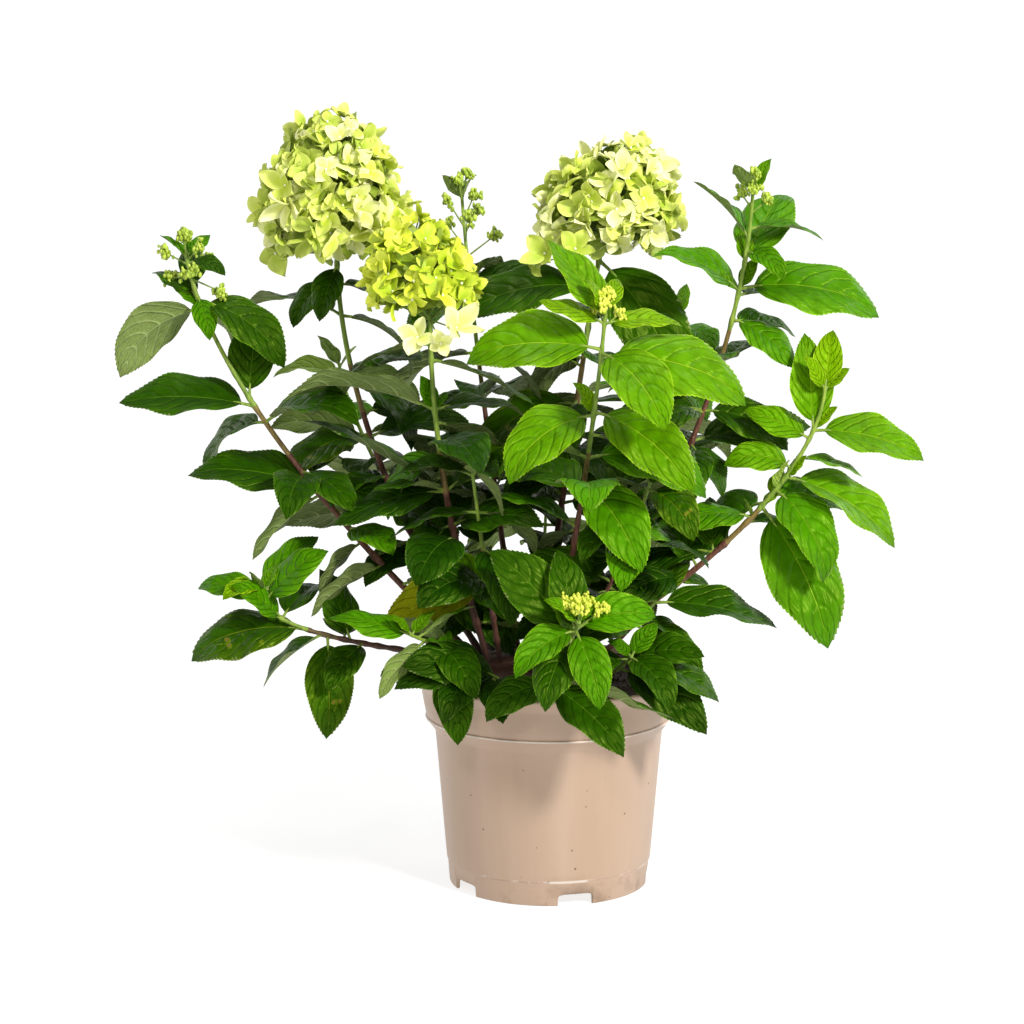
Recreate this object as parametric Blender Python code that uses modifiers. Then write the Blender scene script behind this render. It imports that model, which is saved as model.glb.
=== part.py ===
"""Panicle hydrangea in a nursery pot.

The shrub is built as it grows. A squat woody root crown sits on the compost and carries one cane for each
shoot. A cane is a bare tapering limb; where its leaves begin, the leafy shoot takes over as its own solid,
with leaves fused to its stem. Three shoots end in a dense flower panicle, and others in a spray of buds.

Frame: metres, +Z up, origin at the centre of the pot's underside, front of the plant towards -Y.
"""
import math
import random

import bmesh
import bpy
import numpy as np
from mathutils import Vector
from mathutils.bvhtree import BVHTree

MM = 0.001
GAP = 0.3 * MM

# Pot, injection moulded: radius and height of each corner of its outside, from foot to lip
POT_SIDES = 32
POT_WALL = 1.8 * MM
POT_FOOT_RADIUS = 69 * MM
POT_FLOOR = 9 * MM
POT_OUTSIDE = ((69, 0), (70.8, 16), (78.8, 109), (84.5, 117), (85.2, 120), (88.3, 138), (94.6, 145), (95.6, 148))
POT_LIP_DROP = 1.6 * MM
PAD_RADIUS = 22 * MM
NOTCH_COUNT = 5
NOTCH_FIRST_DEG = -75
NOTCH_WIDTH = 25 * MM
NOTCH_HEIGHT = 8 * MM

# Compost: flat in the middle, lower at the wall
COMPOST_TOP = 150 * MM
COMPOST_FLAT = 60 * MM
COMPOST_EDGE = 145 * MM

# Root crown: a low woody mound with a stub under each cane
CROWN_CENTRE = (-15 * MM, 2 * MM)
CROWN_HALF_LENGTH = 48 * MM
CROWN_HALF_DEPTH = 40 * MM
CROWN_HEIGHT = 13 * MM
STUB_LENGTH = 15 * MM

# Leaf: petiole as a share of the length, widest half width, thickness and fold as shares
PETIOLE = 0.10
PETIOLE_RADIUS = 1.1 * MM
HALF_WIDTH = 0.212
THICKNESS = 0.018
FOLD = 0.30
WIDEN, NARROW = 0.62, 0.95
LEAF_STATIONS = (0.0, 0.12, 0.36, 0.70)
SMALL_LEAF = 60 * MM
SMALL_STATIONS = (0.0, 0.12, 0.48)
TURN_STEP = 13
RISE_STEP = 7
TRIES = 7
CLEARANCE = 0.45 * MM
BRANCHLET_RADIUS = 0.8 * MM

# Each shoot, in millimetres and degrees. foot and tip: ends of its stem. arch: how early it leans out.
# leafy: share of the height where the bare cane ends. light: side that its upper leaves face, 1 front.
# pairs: first and last share, number of pairs and first compass turn of the leaves set by the seeded rule.
# own: leaves with a place of their own, as share, compass turn, length, rise, droop and tilt to the light.
# buds: share where the bud spray starts, number of branchlets, reach.
SHOOTS = {
    "front_bright": dict(
        foot=(4, -16, 164), tip=(35, -100, 412), arch=1.25, leafy=0.34, girth=(3.0, 1.5), light=1, seed=3,
        pairs=(0.38, 0.58, 3, 20), lengths=(85, 88), buds=(0.94, 6, 13),
        own=((0.97, 165, 62, 60, 16, 0.9), (0.95, 185, 46, 30, 20, 0.4), (0.95, 5, 52, 12, 20, 0.6),
             (0.88, 178, 92, 14, 34, 1.0), (0.86, 355, 104, 6, 40, 0.9), (0.87, 308, 82, -8, 50, 0.9),
             (0.71, 325, 90, -8, 50, 0.8), (0.70, 212, 82, 0, 56, 0.9))),
    "upper_right": dict(
        foot=(26, 14, 162), tip=(136, -15, 484), arch=1.7, leafy=0.40, girth=(3.1, 1.5), light=1, seed=5,
        pairs=(0.43, 0.62, 3, 70), lengths=(84, 80), buds=(0.94, 6, 14),
        own=((0.89, 172, 54, 62, 34, 0.1), (0.91, 358, 52, 16, 46, 0.15), (0.84, 55, 80, 52, 30, 0.3),
             (0.86, 310, 40, 10, 70, 0.9), (0.78, 186, 68, 46, 40, 0.6), (0.785, 356, 100, 12, 42, 0.7),
             (0.77, 40, 66, 10, 30, 0.2), (0.72, 335, 56, -10, 50, 0.3), (0.715, 20, 60, 0, 40, 0.3),
             (0.46, 6, 84, 14, 8, 0.5))),
    "outer_right": dict(
        foot=(20, -3, 163), tip=(184, -40, 352), arch=1.7, leafy=0.42, girth=(3.2, 1.4), light=1, seed=7,
        pairs=(0.5, 0.5, 0, 40), lengths=(70, 70), buds=None,
        own=((0.99, 60, 42, 75, 10, 0.8), (0.84, 122, 66, 76, 12, 0.9), (0.84, 352, 78, 4, 36, 0.6),
             (0.81, 172, 48, 32, 20, 0.9), (0.74, 350, 46, 0, 30, 0.2), (0.70, 186, 50, 40, 70, 0.9),
             (0.67, 350, 90, -10, 42, 0.3), (0.56, 328, 108, -46, 28, 1.0), (0.62, 306, 80, -16, 60, 1.0), (0.60, 20, 64, 5, 30, 0.6),
             (0.50, 10, 52, 10, 60, 0.2), (0.52, 200, 60, 20, 50, 0.4))),
    "low_right": dict(
        foot=(29, -20, 159), tip=(72, -36, 206), arch=1.2, leafy=0.40, girth=(2.3, 1.3), light=1, seed=8,
        pairs=(0.5, 0.5, 0, 0), lengths=(60, 60), buds=None,
        own=((0.95, 352, 86, 4, 30, 0.5), (0.95, 165, 50, 30, 40, 0.3), (0.60, 324, 66, -12, 42, 0.6),
             (0.70, 60, 72, 20, 50, 0.4), (0.99, 40, 50, 40, 30, 0.5))),
    "rim_front": dict(
        foot=(-1, -60, 152), tip=(18, -136, 210), arch=1.0, leafy=0.34, girth=(2.0, 1.3), light=1, seed=9,
        pairs=(0.5, 0.5, 0, 0), lengths=(50, 50), buds=(0.90, 8, 21),
        own=((0.78, 161, 80, 56, 24, 1.2), (0.84, 118, 58, 74, 16, 0.6), (0.88, 218, 56, -2, 50, 0.9),
             (0.90, 8, 56, 34, 56, 1.0), (0.88, 296, 58, -36, 30, 1.0), (0.76, 244, 60, -22, 34, 0.8),
             (0.55, 30, 55, 40, 60, 0.5))),
    "rim_centre": dict(
        foot=(6, -64, 151), tip=(0, -98, 160), arch=1.0, leafy=0.40, girth=(1.9, 1.4), light=1, seed=10,
        pairs=(0.5, 0.5, 0, 0), lengths=(60, 60), buds=None,
        own=((0.88, 346, 86, 0, 26, -0.7), (0.97, 334, 74, -24, 22, 0.9), (0.74, 204, 56, 12, 62, 0.8))),
    "outer_left": dict(
        foot=(-55, 0, 162), tip=(-245, -12, 440), arch=1.5, leafy=0.38, girth=(3.2, 1.5), light=1, seed=11,
        pairs=(0.44, 0.58, 2, 75), lengths=(82, 80), buds=(0.93, 8, 30),
        own=((0.97, 330, 32, 20, 70, 0.5), (0.91, 100, 42, 60, 40, 0.5), (0.885, 142, 46, 42, 40, 0.6),
             (0.86, 184, 77, -6, 62, -0.9), (0.88, 350, 78, -10, 46, 0.5), (0.865, 60, 62, -10, 50, 0.2),
             (0.62, 180, 93, 14, 22, 0.35), (0.64, 118, 64, 60, 20, 0.3), (0.42, 178, 88, 20, 22, 0.6),
             (0.41, 350, 76, 10, 50, 0.5), (0.40, 205, 66, -25, 30, -0.6))),
    "low_left": dict(
        foot=(-57, -7, 159), tip=(-195, -30, 212), arch=2.6, leafy=0.20, girth=(2.4, 1.2), light=1, seed=13,
        pairs=(0.4, 0.5, 0, 90), lengths=(70, 70), buds=None,
        own=((0.44, 183, 88, 12, 46, 0.4), (0.85, 165, 52, 30, 40, 0.5), (0.92, 40, 60, 50, 20, 0.3),
             (0.36, 278, 72, -58, 26, 0.9), (0.38, 205, 56, -20, 30, 0.0), (0.60, 60, 62, 40, 50, 0.4),
             (0.24, 240, 50, -10, 44, 0.4), (0.97, 215, 34, 30, 60, 0.5), (0.30, 90, 66, 20, 50, 0.4))),
    "low_front_left": dict(
        foot=(-46, -26, 158), tip=(-93, -82, 191), arch=1.0, leafy=0.34, girth=(2.1, 1.2), light=1, seed=15,
        pairs=(0.4, 0.5, 0, 0), lengths=(60, 60), buds=None,
        own=((0.97, 180, 58, 22, 16, 0.7), (0.80, 215, 52, -30, 20, -0.9), (0.90, 30, 48, 30, 10, -0.8),
             (0.60, 300, 55, 0, 60, 0.5), (0.55, 120, 60, 30, 50, 0.4))),
    "rim_left": dict(
        foot=(-18, -56, 152), tip=(-76, -71, 164), arch=1.0, leafy=0.20, girth=(1.9, 1.3), light=1, seed=17,
        pairs=(0.4, 0.5, 0, 0), lengths=(60, 60), buds=None,
        own=((0.34, 197, 72, 26, 54, 0.5), (0.97, 305, 54, -38, 40, 0.9), (0.92, 190, 48, 5, 50, 0.6),
             (0.35, 280, 56, 10, 60, 0.8), (0.60, 250, 52, 5, 60, 0.6))),
    "rim_right": dict(
        foot=(36, -50, 152), tip=(54, -82, 176), arch=1.0, leafy=0.34, girth=(1.9, 1.3), light=1, seed=19,
        pairs=(0.4, 0.5, 0, 0), lengths=(60, 60), buds=None,
        own=((0.55, 333, 76, -10, 46, 0.6), (0.80, 345, 70, 4, 50, 0.3), (0.95, 290, 56, -6, 60, 0.7),
             (0.90, 200, 54, 10, 50, 0.5), (0.70, 20, 60, 15, 50, 0.5))),
    "front_left": dict(
        foot=(-43, -14, 163), tip=(-80, -45, 397), arch=1.9, leafy=0.30, girth=(3.1, 1.9), light=1, seed=23,
        pairs=(0.36, 0.64, 3, 100), lengths=(86, 88), buds=None,
        own=((0.93, 183, 62, 0, 40, -0.4), (0.885, 352, 76, -8, 30, -0.3), (0.74, 181, 106, 28, 40, -0.35),
             (0.74, 5, 70, 20, 50, 0.3), (0.50, 172, 108, 32, 8, -0.3), (0.50, 20, 72, 30, 50, 0.4),
             (0.40, 15, 46, 30, 10, -0.4), (0.36, 250, 80, 10, 50, 0.6))),
    "tall_left": dict(
        foot=(-50, 13, 163), tip=(-146, 30, 436), arch=1.9, leafy=0.30, girth=(3.2, 2.0), light=1, seed=21,
        pairs=(0.38, 0.84, 4, 280), lengths=(88, 84), buds=None,
        own=((0.93, 200, 48, -10, 70, 0.2), (0.97, 235, 48, -48, 20, 0.8), (0.92, 20, 50, 0, 50, 0.3),
             (0.34, 185, 82, 10, 30, -0.6), (0.36, 20, 80, 10, 30, 0.4))),
    "tall_centre": dict(
        foot=(-5, 14, 164), tip=(36, 40, 438), arch=0.95, leafy=0.34, girth=(3.2, 2.0), light=1, seed=25,
        pairs=(0.38, 0.84, 5, 20), lengths=(90, 84), buds=None,
        own=((0.97, 328, 112, -34, 44, 1.1), (0.90, 182, 98, 12, 50, 0.4), (0.80, 90, 80, 30, 50, 0.3))),
    "back_centre": dict(
        foot=(-22, 27, 162), tip=(-61, 90, 474), arch=1.2, leafy=0.30, girth=(3.0, 1.4), light=-1, seed=27,
        pairs=(0.34, 0.74, 5, 60), lengths=(90, 80), buds=(0.85, 9, 26),
        own=((0.83, 55, 44, 20, 50, 0.4), (0.80, 5, 66, 22, 50, -0.2))),
    "back_left": dict(
        foot=(-41, 29, 160), tip=(-150, 115, 350), arch=1.4, leafy=0.36, girth=(2.8, 1.4), light=-1, seed=29,
        pairs=(0.40, 0.95, 6, 100), lengths=(90, 60), buds=None, own=()),
    "back_right": dict(
        foot=(14, 28, 161), tip=(95, 125, 385), arch=1.4, leafy=0.36, girth=(2.9, 1.4), light=-1, seed=31,
        pairs=(0.40, 0.95, 6, 40), lengths=(92, 60), buds=None, own=()),
    "inner_left": dict(
        foot=(-34, -17, 161), tip=(-52, -62, 300), arch=1.1, leafy=0.34, girth=(2.5, 1.4), light=1, seed=35,
        pairs=(0.40, 0.96, 4, 30), lengths=(78, 58), buds=None, own=()),
    "inner_right": dict(
        foot=(17, -27, 160), tip=(66, -72, 292), arch=1.1, leafy=0.34, girth=(2.5, 1.4), light=1, seed=37,
        pairs=(0.40, 0.96, 4, 60), lengths=(78, 58), buds=None, own=()),
    "back_low": dict(
        foot=(-6, 37, 159), tip=(0, 150, 250), arch=1.1, leafy=0.36, girth=(2.4, 1.3), light=-1, seed=33,
        pairs=(0.42, 0.95, 4, 0), lengths=(84, 60), buds=None, own=()),
}
ON_COMPOST = ("rim_front", "rim_centre", "rim_left", "rim_right")

# Panicles: shoot below, top (x, y, z) and widest radius in millimetres, florets, seed
PANICLES = {
    "panicle_left": dict(shoot="tall_left", top=(-152, 30, 537), radius=53, florets=38, seed=41),
    "panicle_front": dict(shoot="front_left", top=(-96, -45, 471), radius=45, florets=26, seed=43),
    "panicle_centre": dict(shoot="tall_centre", top=(54, 40, 517), radius=52, florets=32, seed=45),
}
PANICLE_RISE, PANICLE_FALL = 0.34, 0.58
CORE_SHARE = 0.80
CORE_SIDES = 10
CORE_RINGS = 5
FLORET_RADIUS = 15 * MM
FLORET_CUP = 3.5 * MM
GOLDEN_TURN = math.pi * (3 - math.sqrt(5))

COLOURS = {
    "pot_plastic": ((0.66, 0.52, 0.41), 0.55),
    "compost": ((0.055, 0.034, 0.022), 0.95),
    "old_wood": ((0.19, 0.10, 0.06), 0.80),
    "cane_bark": ((0.24, 0.12, 0.07), 0.70),
    "leaf": ((0.045, 0.15, 0.02), 0.45),
    "floret": ((0.60, 0.68, 0.22), 0.60),
}


def clear_scene():
    for thing in list(bpy.data.objects):
        bpy.data.objects.remove(thing, do_unlink=True)


def material(name):
    """The Principled finish of that name, made once."""
    if name in bpy.data.materials:
        return bpy.data.materials[name]
    colour, roughness = COLOURS[name]
    made = bpy.data.materials.new(name)
    made.use_nodes = True
    shader = made.node_tree.nodes["Principled BSDF"]
    shader.inputs["Base Color"].default_value = (*colour, 1.0)
    shader.inputs["Roughness"].default_value = roughness
    shader.inputs["Metallic"].default_value = 0.0
    return made


def add_object(name, data, finish, collection):
    made = bpy.data.objects.new(name, data)
    data.materials.clear()
    data.materials.append(material(finish))
    collection.objects.link(made)
    return made


def mesh_of(name, bm):
    """The bmesh as a mesh with its faces pointing out."""
    bmesh.ops.recalc_face_normals(bm, faces=bm.faces)
    mesh = bpy.data.meshes.new(name)
    bm.to_mesh(mesh)
    bm.free()
    return mesh


def evaluated_mesh(thing):
    bpy.context.view_layer.update()
    graph = bpy.context.evaluated_depsgraph_get()
    return bpy.data.meshes.new_from_object(thing.evaluated_get(graph), depsgraph=graph)


def tree_of(mesh):
    corners = [vertex.co.copy() for vertex in mesh.vertices]
    return BVHTree.FromPolygons(corners, [tuple(face.vertices) for face in mesh.polygons])


def keep_main_body(mesh):
    """Welds the mesh and keeps its largest shell, which drops scraps and fills sealed hollows."""
    bm = bmesh.new()
    bm.from_mesh(mesh)
    bmesh.ops.remove_doubles(bm, verts=bm.verts, dist=2e-6)
    left = set(bm.faces)
    shells = []
    while left:
        search = [left.pop()]
        shell = set(search)
        while search:
            for edge in search.pop().edges:
                for face in edge.link_faces:
                    if face in left:
                        left.discard(face)
                        shell.add(face)
                        search.append(face)
        shells.append(shell)
    main = max(shells, key=len)
    bmesh.ops.delete(bm, geom=[face for face in bm.faces if face not in main], context="FACES")
    bmesh.ops.triangulate(bm, faces=bm.faces)
    bm.to_mesh(mesh)
    bm.free()


def closed(mesh):
    bm = bmesh.new()
    bm.from_mesh(mesh)
    whole = len(bm.faces) > 0 and all(edge.is_manifold for edge in bm.edges)
    bm.free()
    return whole


def joined(base, group):
    """The union of the base object and a collection, by EXACT, or by MANIFOLD where that leaves a hole."""
    union = base.modifiers.new("union", "BOOLEAN")
    union.operation = "UNION"
    union.operand_type = "COLLECTION"
    union.collection = group
    for solver in ("EXACT", "MANIFOLD"):
        union.solver = solver
        whole = evaluated_mesh(base)
        keep_main_body(whole)
        if closed(whole):
            break
    base.modifiers.remove(union)
    return whole


def fuse(base, pieces):
    """Joins the pieces to the base object. Where both solvers fail, it goes on with one piece fewer."""
    group = bpy.data.collections.new(base.name + "_pieces")
    bpy.context.scene.collection.children.link(group)
    for number, mesh in enumerate(pieces):
        group.objects.link(bpy.data.objects.new(f"{base.name}_piece_{number}", mesh))
    whole = joined(base, group)
    while not closed(whole) and len(group.objects) > 1:
        bpy.data.objects.remove(group.objects[-1], do_unlink=True)
        whole = joined(base, group)
    for piece in list(group.objects):
        bpy.data.objects.remove(piece, do_unlink=True)
    bpy.data.collections.remove(group)
    whole.name = base.name
    base.data = whole
    return base


def turned(name, profile, finish, collection):
    """A profile of (radius, height) corners, from the top outer one down, turned about the Z axis."""
    mesh = bpy.data.meshes.new(name)
    mesh.from_pydata([(r, 0, z) for r, z in profile], [(k, k + 1) for k in range(len(profile) - 1)], [])
    made = add_object(name, mesh, finish, collection)
    screw = made.modifiers.new("turn", "SCREW")
    screw.steps = POT_SIDES
    screw.render_steps = POT_SIDES
    screw.use_merge_vertices = True
    screw.merge_threshold = 0.00001
    return made


def make_pot(plant, cutters):
    """Thin-walled pot: its foot ring stands on the ground round a central pad, and is notched for drainage."""
    outside = [(r * MM, z * MM) for r, z in POT_OUTSIDE]
    lip_r, lip_z = outside[-1]
    inside = [(r - POT_WALL, z) for r, z in outside[2:-1]]
    profile = [(lip_r - 0.8 * MM, lip_z + 0.7 * MM)] + outside[::-1]
    profile += [(POT_FOOT_RADIUS - POT_WALL, 0.0), (POT_FOOT_RADIUS - POT_WALL, POT_FLOOR)]
    profile += [(PAD_RADIUS + 2 * MM, POT_FLOOR), (PAD_RADIUS, 0.0), (0.0, 0.0)]
    floor_top = POT_FLOOR + POT_WALL
    inner = [(0.0, floor_top), (outside[1][0] - POT_WALL, floor_top)] + inside
    inner += [(lip_r - 2.4 * MM, lip_z - POT_LIP_DROP)]
    profile += inner + [profile[0]]
    pot = turned("pot", profile, "pot_plastic", plant)
    for k in range(NOTCH_COUNT):
        turn = math.radians(NOTCH_FIRST_DEG + 360 / NOTCH_COUNT * k)
        bm = bmesh.new()
        bmesh.ops.create_cube(bm, size=1.0)
        bmesh.ops.scale(bm, vec=(16 * MM, NOTCH_WIDTH, 2 * NOTCH_HEIGHT), verts=bm.verts)
        cutter = bpy.data.objects.new(f"notch_cutter_{k}", mesh_of(f"notch_cutter_{k}", bm))
        cutter.location = (POT_FOOT_RADIUS * math.cos(turn), POT_FOOT_RADIUS * math.sin(turn), 0)
        cutter.rotation_euler = (0, 0, turn)
        cutter.hide_render = True
        cutter.display_type = "WIRE"
        cutters.objects.link(cutter)
    cut = pot.modifiers.new("notches", "BOOLEAN")
    cut.operation = "DIFFERENCE"
    cut.operand_type = "COLLECTION"
    cut.collection = cutters
    cut.solver = "EXACT"
    return pot


def make_compost(plant):
    """Compost that fills the pot, 0.3 mm clear of its wall."""
    def wall(height):
        radii, heights = zip(*[(r * MM - POT_WALL, z * MM) for r, z in POT_OUTSIDE[1:]])
        return float(np.interp(height, heights, radii)) - 1.5 * GAP
    floor = POT_FLOOR + POT_WALL + GAP
    levels = [COMPOST_EDGE, 138 * MM, 120 * MM, 117 * MM, 109 * MM, floor]
    profile = [(0.0, COMPOST_TOP), (COMPOST_FLAT, COMPOST_TOP)]
    profile += [(wall(z), z) for z in levels] + [(0.0, floor)]
    return turned("compost", profile, "compost", plant)


def stem_at(shoot, share):
    """Place of the stem at a share of its height: it leans out by 1-(1-share)^arch of the way to its tip."""
    foot, tip = (np.array(shoot[end]) * MM for end in ("foot", "tip"))
    out = 1 - (1 - share) ** shoot["arch"]
    place = foot + (tip - foot) * np.array([out, out, share])
    return place


def stem_radius(shoot, share):
    low, high = shoot["girth"]
    return (low + (high - low) * share) * MM


def heading_at(shoot, share):
    step = 0.01
    way = stem_at(shoot, min(1.0, share + step)) - stem_at(shoot, max(0.0, share - step))
    return way / np.linalg.norm(way)


def tube(name, points, radii, resolution, finish, collection):
    """A tapering limb: a poly spline with a round bevel and filled caps."""
    curve = bpy.data.curves.new(name, "CURVE")
    curve.dimensions = "3D"
    curve.bevel_depth = MM
    curve.bevel_resolution = resolution
    curve.use_fill_caps = True
    spline = curve.splines.new("POLY")
    spline.points.add(len(points) - 1)
    for knot, place, radius in zip(spline.points, points, radii):
        knot.co = (*place, 1.0)
        knot.radius = radius / MM
    return add_object(name, curve, finish, collection)


def tube_mesh(made):
    """The tube's evaluated mesh with its caps welded on; the curve object is removed."""
    mesh = evaluated_mesh(made)
    name = made.name
    bpy.data.objects.remove(made, do_unlink=True)
    bm = bmesh.new()
    bm.from_mesh(mesh)
    bmesh.ops.remove_doubles(bm, verts=bm.verts, dist=1e-6)
    bmesh.ops.recalc_face_normals(bm, faces=bm.faces)
    bm.to_mesh(mesh)
    bm.free()
    mesh.name = name
    return mesh


def stretch(shoot, first, last, knots):
    """Stem places and radii between two shares, shortened by the gap at the lower end."""
    shares = np.linspace(first, last, knots)
    points = [stem_at(shoot, share) for share in shares]
    radii = [stem_radius(shoot, share) for share in shares]
    return points, radii


def make_root_crown(plant):
    """Low mound of old wood, flat on the compost, with one stub running into each cane's foot."""
    bm = bmesh.new()
    bmesh.ops.create_uvsphere(bm, u_segments=14, v_segments=6, radius=1.0)
    cut = bmesh.ops.bisect_plane(bm, geom=bm.verts[:] + bm.edges[:] + bm.faces[:], dist=1e-6,
                                 plane_co=(0, 0, 0), plane_no=(0, 0, -1), clear_outer=True)
    rim = [part for part in cut["geom_cut"] if isinstance(part, bmesh.types.BMEdge)]
    bmesh.ops.contextual_create(bm, geom=rim)
    bmesh.ops.scale(bm, vec=(CROWN_HALF_LENGTH, CROWN_HALF_DEPTH, CROWN_HEIGHT), verts=bm.verts)
    bmesh.ops.translate(bm, vec=(*CROWN_CENTRE, COMPOST_TOP + GAP), verts=bm.verts)
    crown = add_object("root_crown", mesh_of("root_crown", bm), "old_wood", plant)
    stubs = []
    for name, shoot in SHOOTS.items():
        if name in ON_COMPOST:
            continue
        way = heading_at(shoot, 0.0)
        top = stem_at(shoot, 0.0) - way * GAP
        radius = stem_radius(shoot, 0.0)
        room = (top[2] - COMPOST_TOP - 2 * GAP - 1.5 * radius) / way[2]
        low = top - way * min(STUB_LENGTH, room)
        curve = tube(name + "_stub", [low, top], [radius * 1.4, radius], 1, "old_wood", plant)
        stubs.append(tube_mesh(curve))
    return fuse(crown, stubs)


def half_width(along, length):
    """Ovate blade: widest at two fifths of its length and drawn out to a point."""
    t = np.clip((along - PETIOLE) / (1 - PETIOLE), 0, 1)
    peak_at = WIDEN / (WIDEN + NARROW)
    peak = peak_at ** WIDEN * (1 - peak_at) ** NARROW
    return HALF_WIDTH * length * t ** WIDEN * (1 - t) ** NARROW / peak


def midrib(leaf, along):
    """Arc in the leaf's upright plane: it sets out at its rise and bends down by its droop over its length."""
    flat = np.array([math.cos(leaf["turn"]), math.sin(leaf["turn"]), 0.0])
    up = np.array([0.0, 0.0, 1.0])
    angle = leaf["rise"] - leaf["droop"] * along
    run = leaf["length"] * (math.sin(leaf["rise"]) - np.sin(angle)) / leaf["droop"]
    climb = leaf["length"] * (np.cos(angle) - math.cos(leaf["rise"])) / leaf["droop"]
    place = leaf["base"] + run[:, None] * flat + climb[:, None] * up
    heading = np.cos(angle)[:, None] * flat + np.sin(angle)[:, None] * up
    return place, heading


def blade_frame(leaf, heading):
    """Across and upper normal at each midrib place: straight up, leaned by the tilt towards the light."""
    want = np.array([0.0, -leaf["tilt"] * leaf["light"], 1.0])
    normal = want - (heading @ want)[:, None] * heading
    normal /= np.linalg.norm(normal, axis=1, keepdims=True)
    return np.cross(normal, heading), normal


def blade(leaf, first=0, grow=0.0):
    """Corners and faces of a leaf: four-cornered sections from the petiole out, closed by a point at the tip."""
    drawn = SMALL_STATIONS if leaf["length"] < SMALL_LEAF else LEAF_STATIONS
    stations = np.array(drawn[first:] + (1.0,))
    place, heading = midrib(leaf, stations)
    across, normal = blade_frame(leaf, heading)
    half = half_width(stations, leaf["length"])
    thick = np.maximum(THICKNESS * leaf["length"] * np.sqrt(1 - 0.6 * stations), 2 * PETIOLE_RADIUS * (stations <= 0.12))
    half = np.where(stations <= 0.12, PETIOLE_RADIUS, half) + grow
    lift = np.where(stations <= 0.12, 0.0, FOLD * half)
    thick = thick / 2 + grow
    corners = []
    for k in range(len(stations) - 1):
        side = across[k] * half[k]
        raised = place[k] + normal[k] * lift[k]
        corners += [raised + side, place[k] + normal[k] * thick[k], raised - side, place[k] - normal[k] * thick[k]]
    corners.append(place[-1] + heading[-1] * grow)
    faces = [(0, 1, 2, 3)]
    for k in range(len(stations) - 2):
        for side, middle in ((0, 1), (2, 1), (2, 3), (0, 3)):
            a, b = 4 * k + side, 4 * k + middle
            faces += [(b, a, a + 4), (b, a + 4, b + 4)]
    last = 4 * (len(stations) - 2)
    faces += [(last + j, len(corners) - 1, last + (j + 1) % 4) for j in range(4)]
    return corners, faces


def leaf_wishes(shoot):
    """Every leaf that the shoot would carry, its own ones first and then seeded pairs at right angles."""
    draw = random.Random(shoot["seed"])
    rows = list(shoot["own"])
    first, last, number, turn = shoot["pairs"]
    low, high = shoot["lengths"]
    for k in range(number):
        rise_along = k / max(1, number - 1)
        for side in (0, 180):
            rows.append((first + (last - first) * rise_along, turn + 90 * k + side + draw.uniform(-22, 22),
                         (low + (high - low) * rise_along) * draw.uniform(0.82, 1.06),
                         draw.uniform(-5, 38), draw.uniform(35, 75), draw.uniform(-0.2, 0.8)))
    return [dict(base=stem_at(shoot, share), turn=math.radians(turn), length=length * MM, rise=math.radians(rise),
                 droop=math.radians(droop), tilt=tilt, light=shoot["light"])
            for share, turn, length, rise, droop, tilt in rows]


def tries_of(leaf):
    """The leaf as wished, and then turned and raised by growing steps to either side."""
    for k in range(TRIES):
        way = (-1) ** k * ((k + 1) // 2)
        yield dict(leaf, turn=leaf["turn"] + math.radians(way * TURN_STEP),
                   rise=leaf["rise"] + math.radians(abs(way) * RISE_STEP))


def fitted_leaves(shoot, obstacles):
    """The leaves that find room: clear of every other solid, and of each other past their petioles."""
    kept, blades = [], []
    for wish in leaf_wishes(shoot):
        for leaf in tries_of(wish):
            whole = BVHTree.FromPolygons(*blade(leaf, 0, CLEARANCE))
            outer = BVHTree.FromPolygons(*blade(leaf, 1, 0.0))
            if any(whole.overlap(tree) for tree in obstacles) or any(outer.overlap(tree) for tree in blades):
                continue
            kept.append(leaf)
            blades.append(outer)
            break
    return kept


def bud_clubs(shoot):
    """Branchlets of a bud spray, spread by the golden turn, each a spindle that swells to its buds."""
    if not shoot["buds"]:
        return []
    first, number, reach = shoot["buds"]
    clubs = []
    for k in range(number):
        share = first + (1 - first) * (k + 0.3) / number
        base = stem_at(shoot, share)
        turn = k * GOLDEN_TURN
        rise = math.radians(35 + 45 * (k + 0.5) / number)
        length = reach * MM * (1.15 - 0.5 * (k + 0.5) / number)
        way = np.array([math.cos(turn) * math.cos(rise), math.sin(turn) * math.cos(rise), math.sin(rise)])
        side = np.cross(way, (0, 0, 1.0))
        side /= np.linalg.norm(side)
        over = np.cross(side, way)
        swell = min(0.3 * length, 4.2 * MM)
        centre = base + way * (length - 1.3 * swell)
        thirds = [2 * math.pi * j / 3 for j in range(3)]
        root = [base + BRANCHLET_RADIUS * (math.cos(a) * side + math.sin(a) * over - way) for a in thirds]
        ring = [centre + swell * (math.cos(a) * side + math.sin(a) * over) for a in thirds]
        corners = root + ring + [base + way * length]
        faces = [(0, 1, 2)]
        for a, b in ((0, 1), (1, 2), (2, 0)):
            faces += [(a, a + 3, b + 3), (a, b + 3, b), (a + 3, 6, b + 3)]
        clubs.append((corners, faces))
    return clubs


def piece_mesh(name, corners, faces):
    bm = bmesh.new()
    made = [bm.verts.new(corner) for corner in corners]
    for face in faces:
        bm.faces.new([made[k] for k in face])
    return mesh_of(name, bm)


def panicle_axis(panicle):
    shoot = SHOOTS[panicle["shoot"]]
    return stem_at(shoot, 1.0), np.array(panicle["top"]) * MM


def panicle_radius(share, widest):
    """Egg-shaped outline: quick to its widest at two fifths of the height, then rounding in to the top."""
    peak = PANICLE_RISE ** PANICLE_RISE * PANICLE_FALL ** PANICLE_FALL
    return widest * share ** PANICLE_RISE * (1 - share) ** PANICLE_FALL / peak


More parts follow.
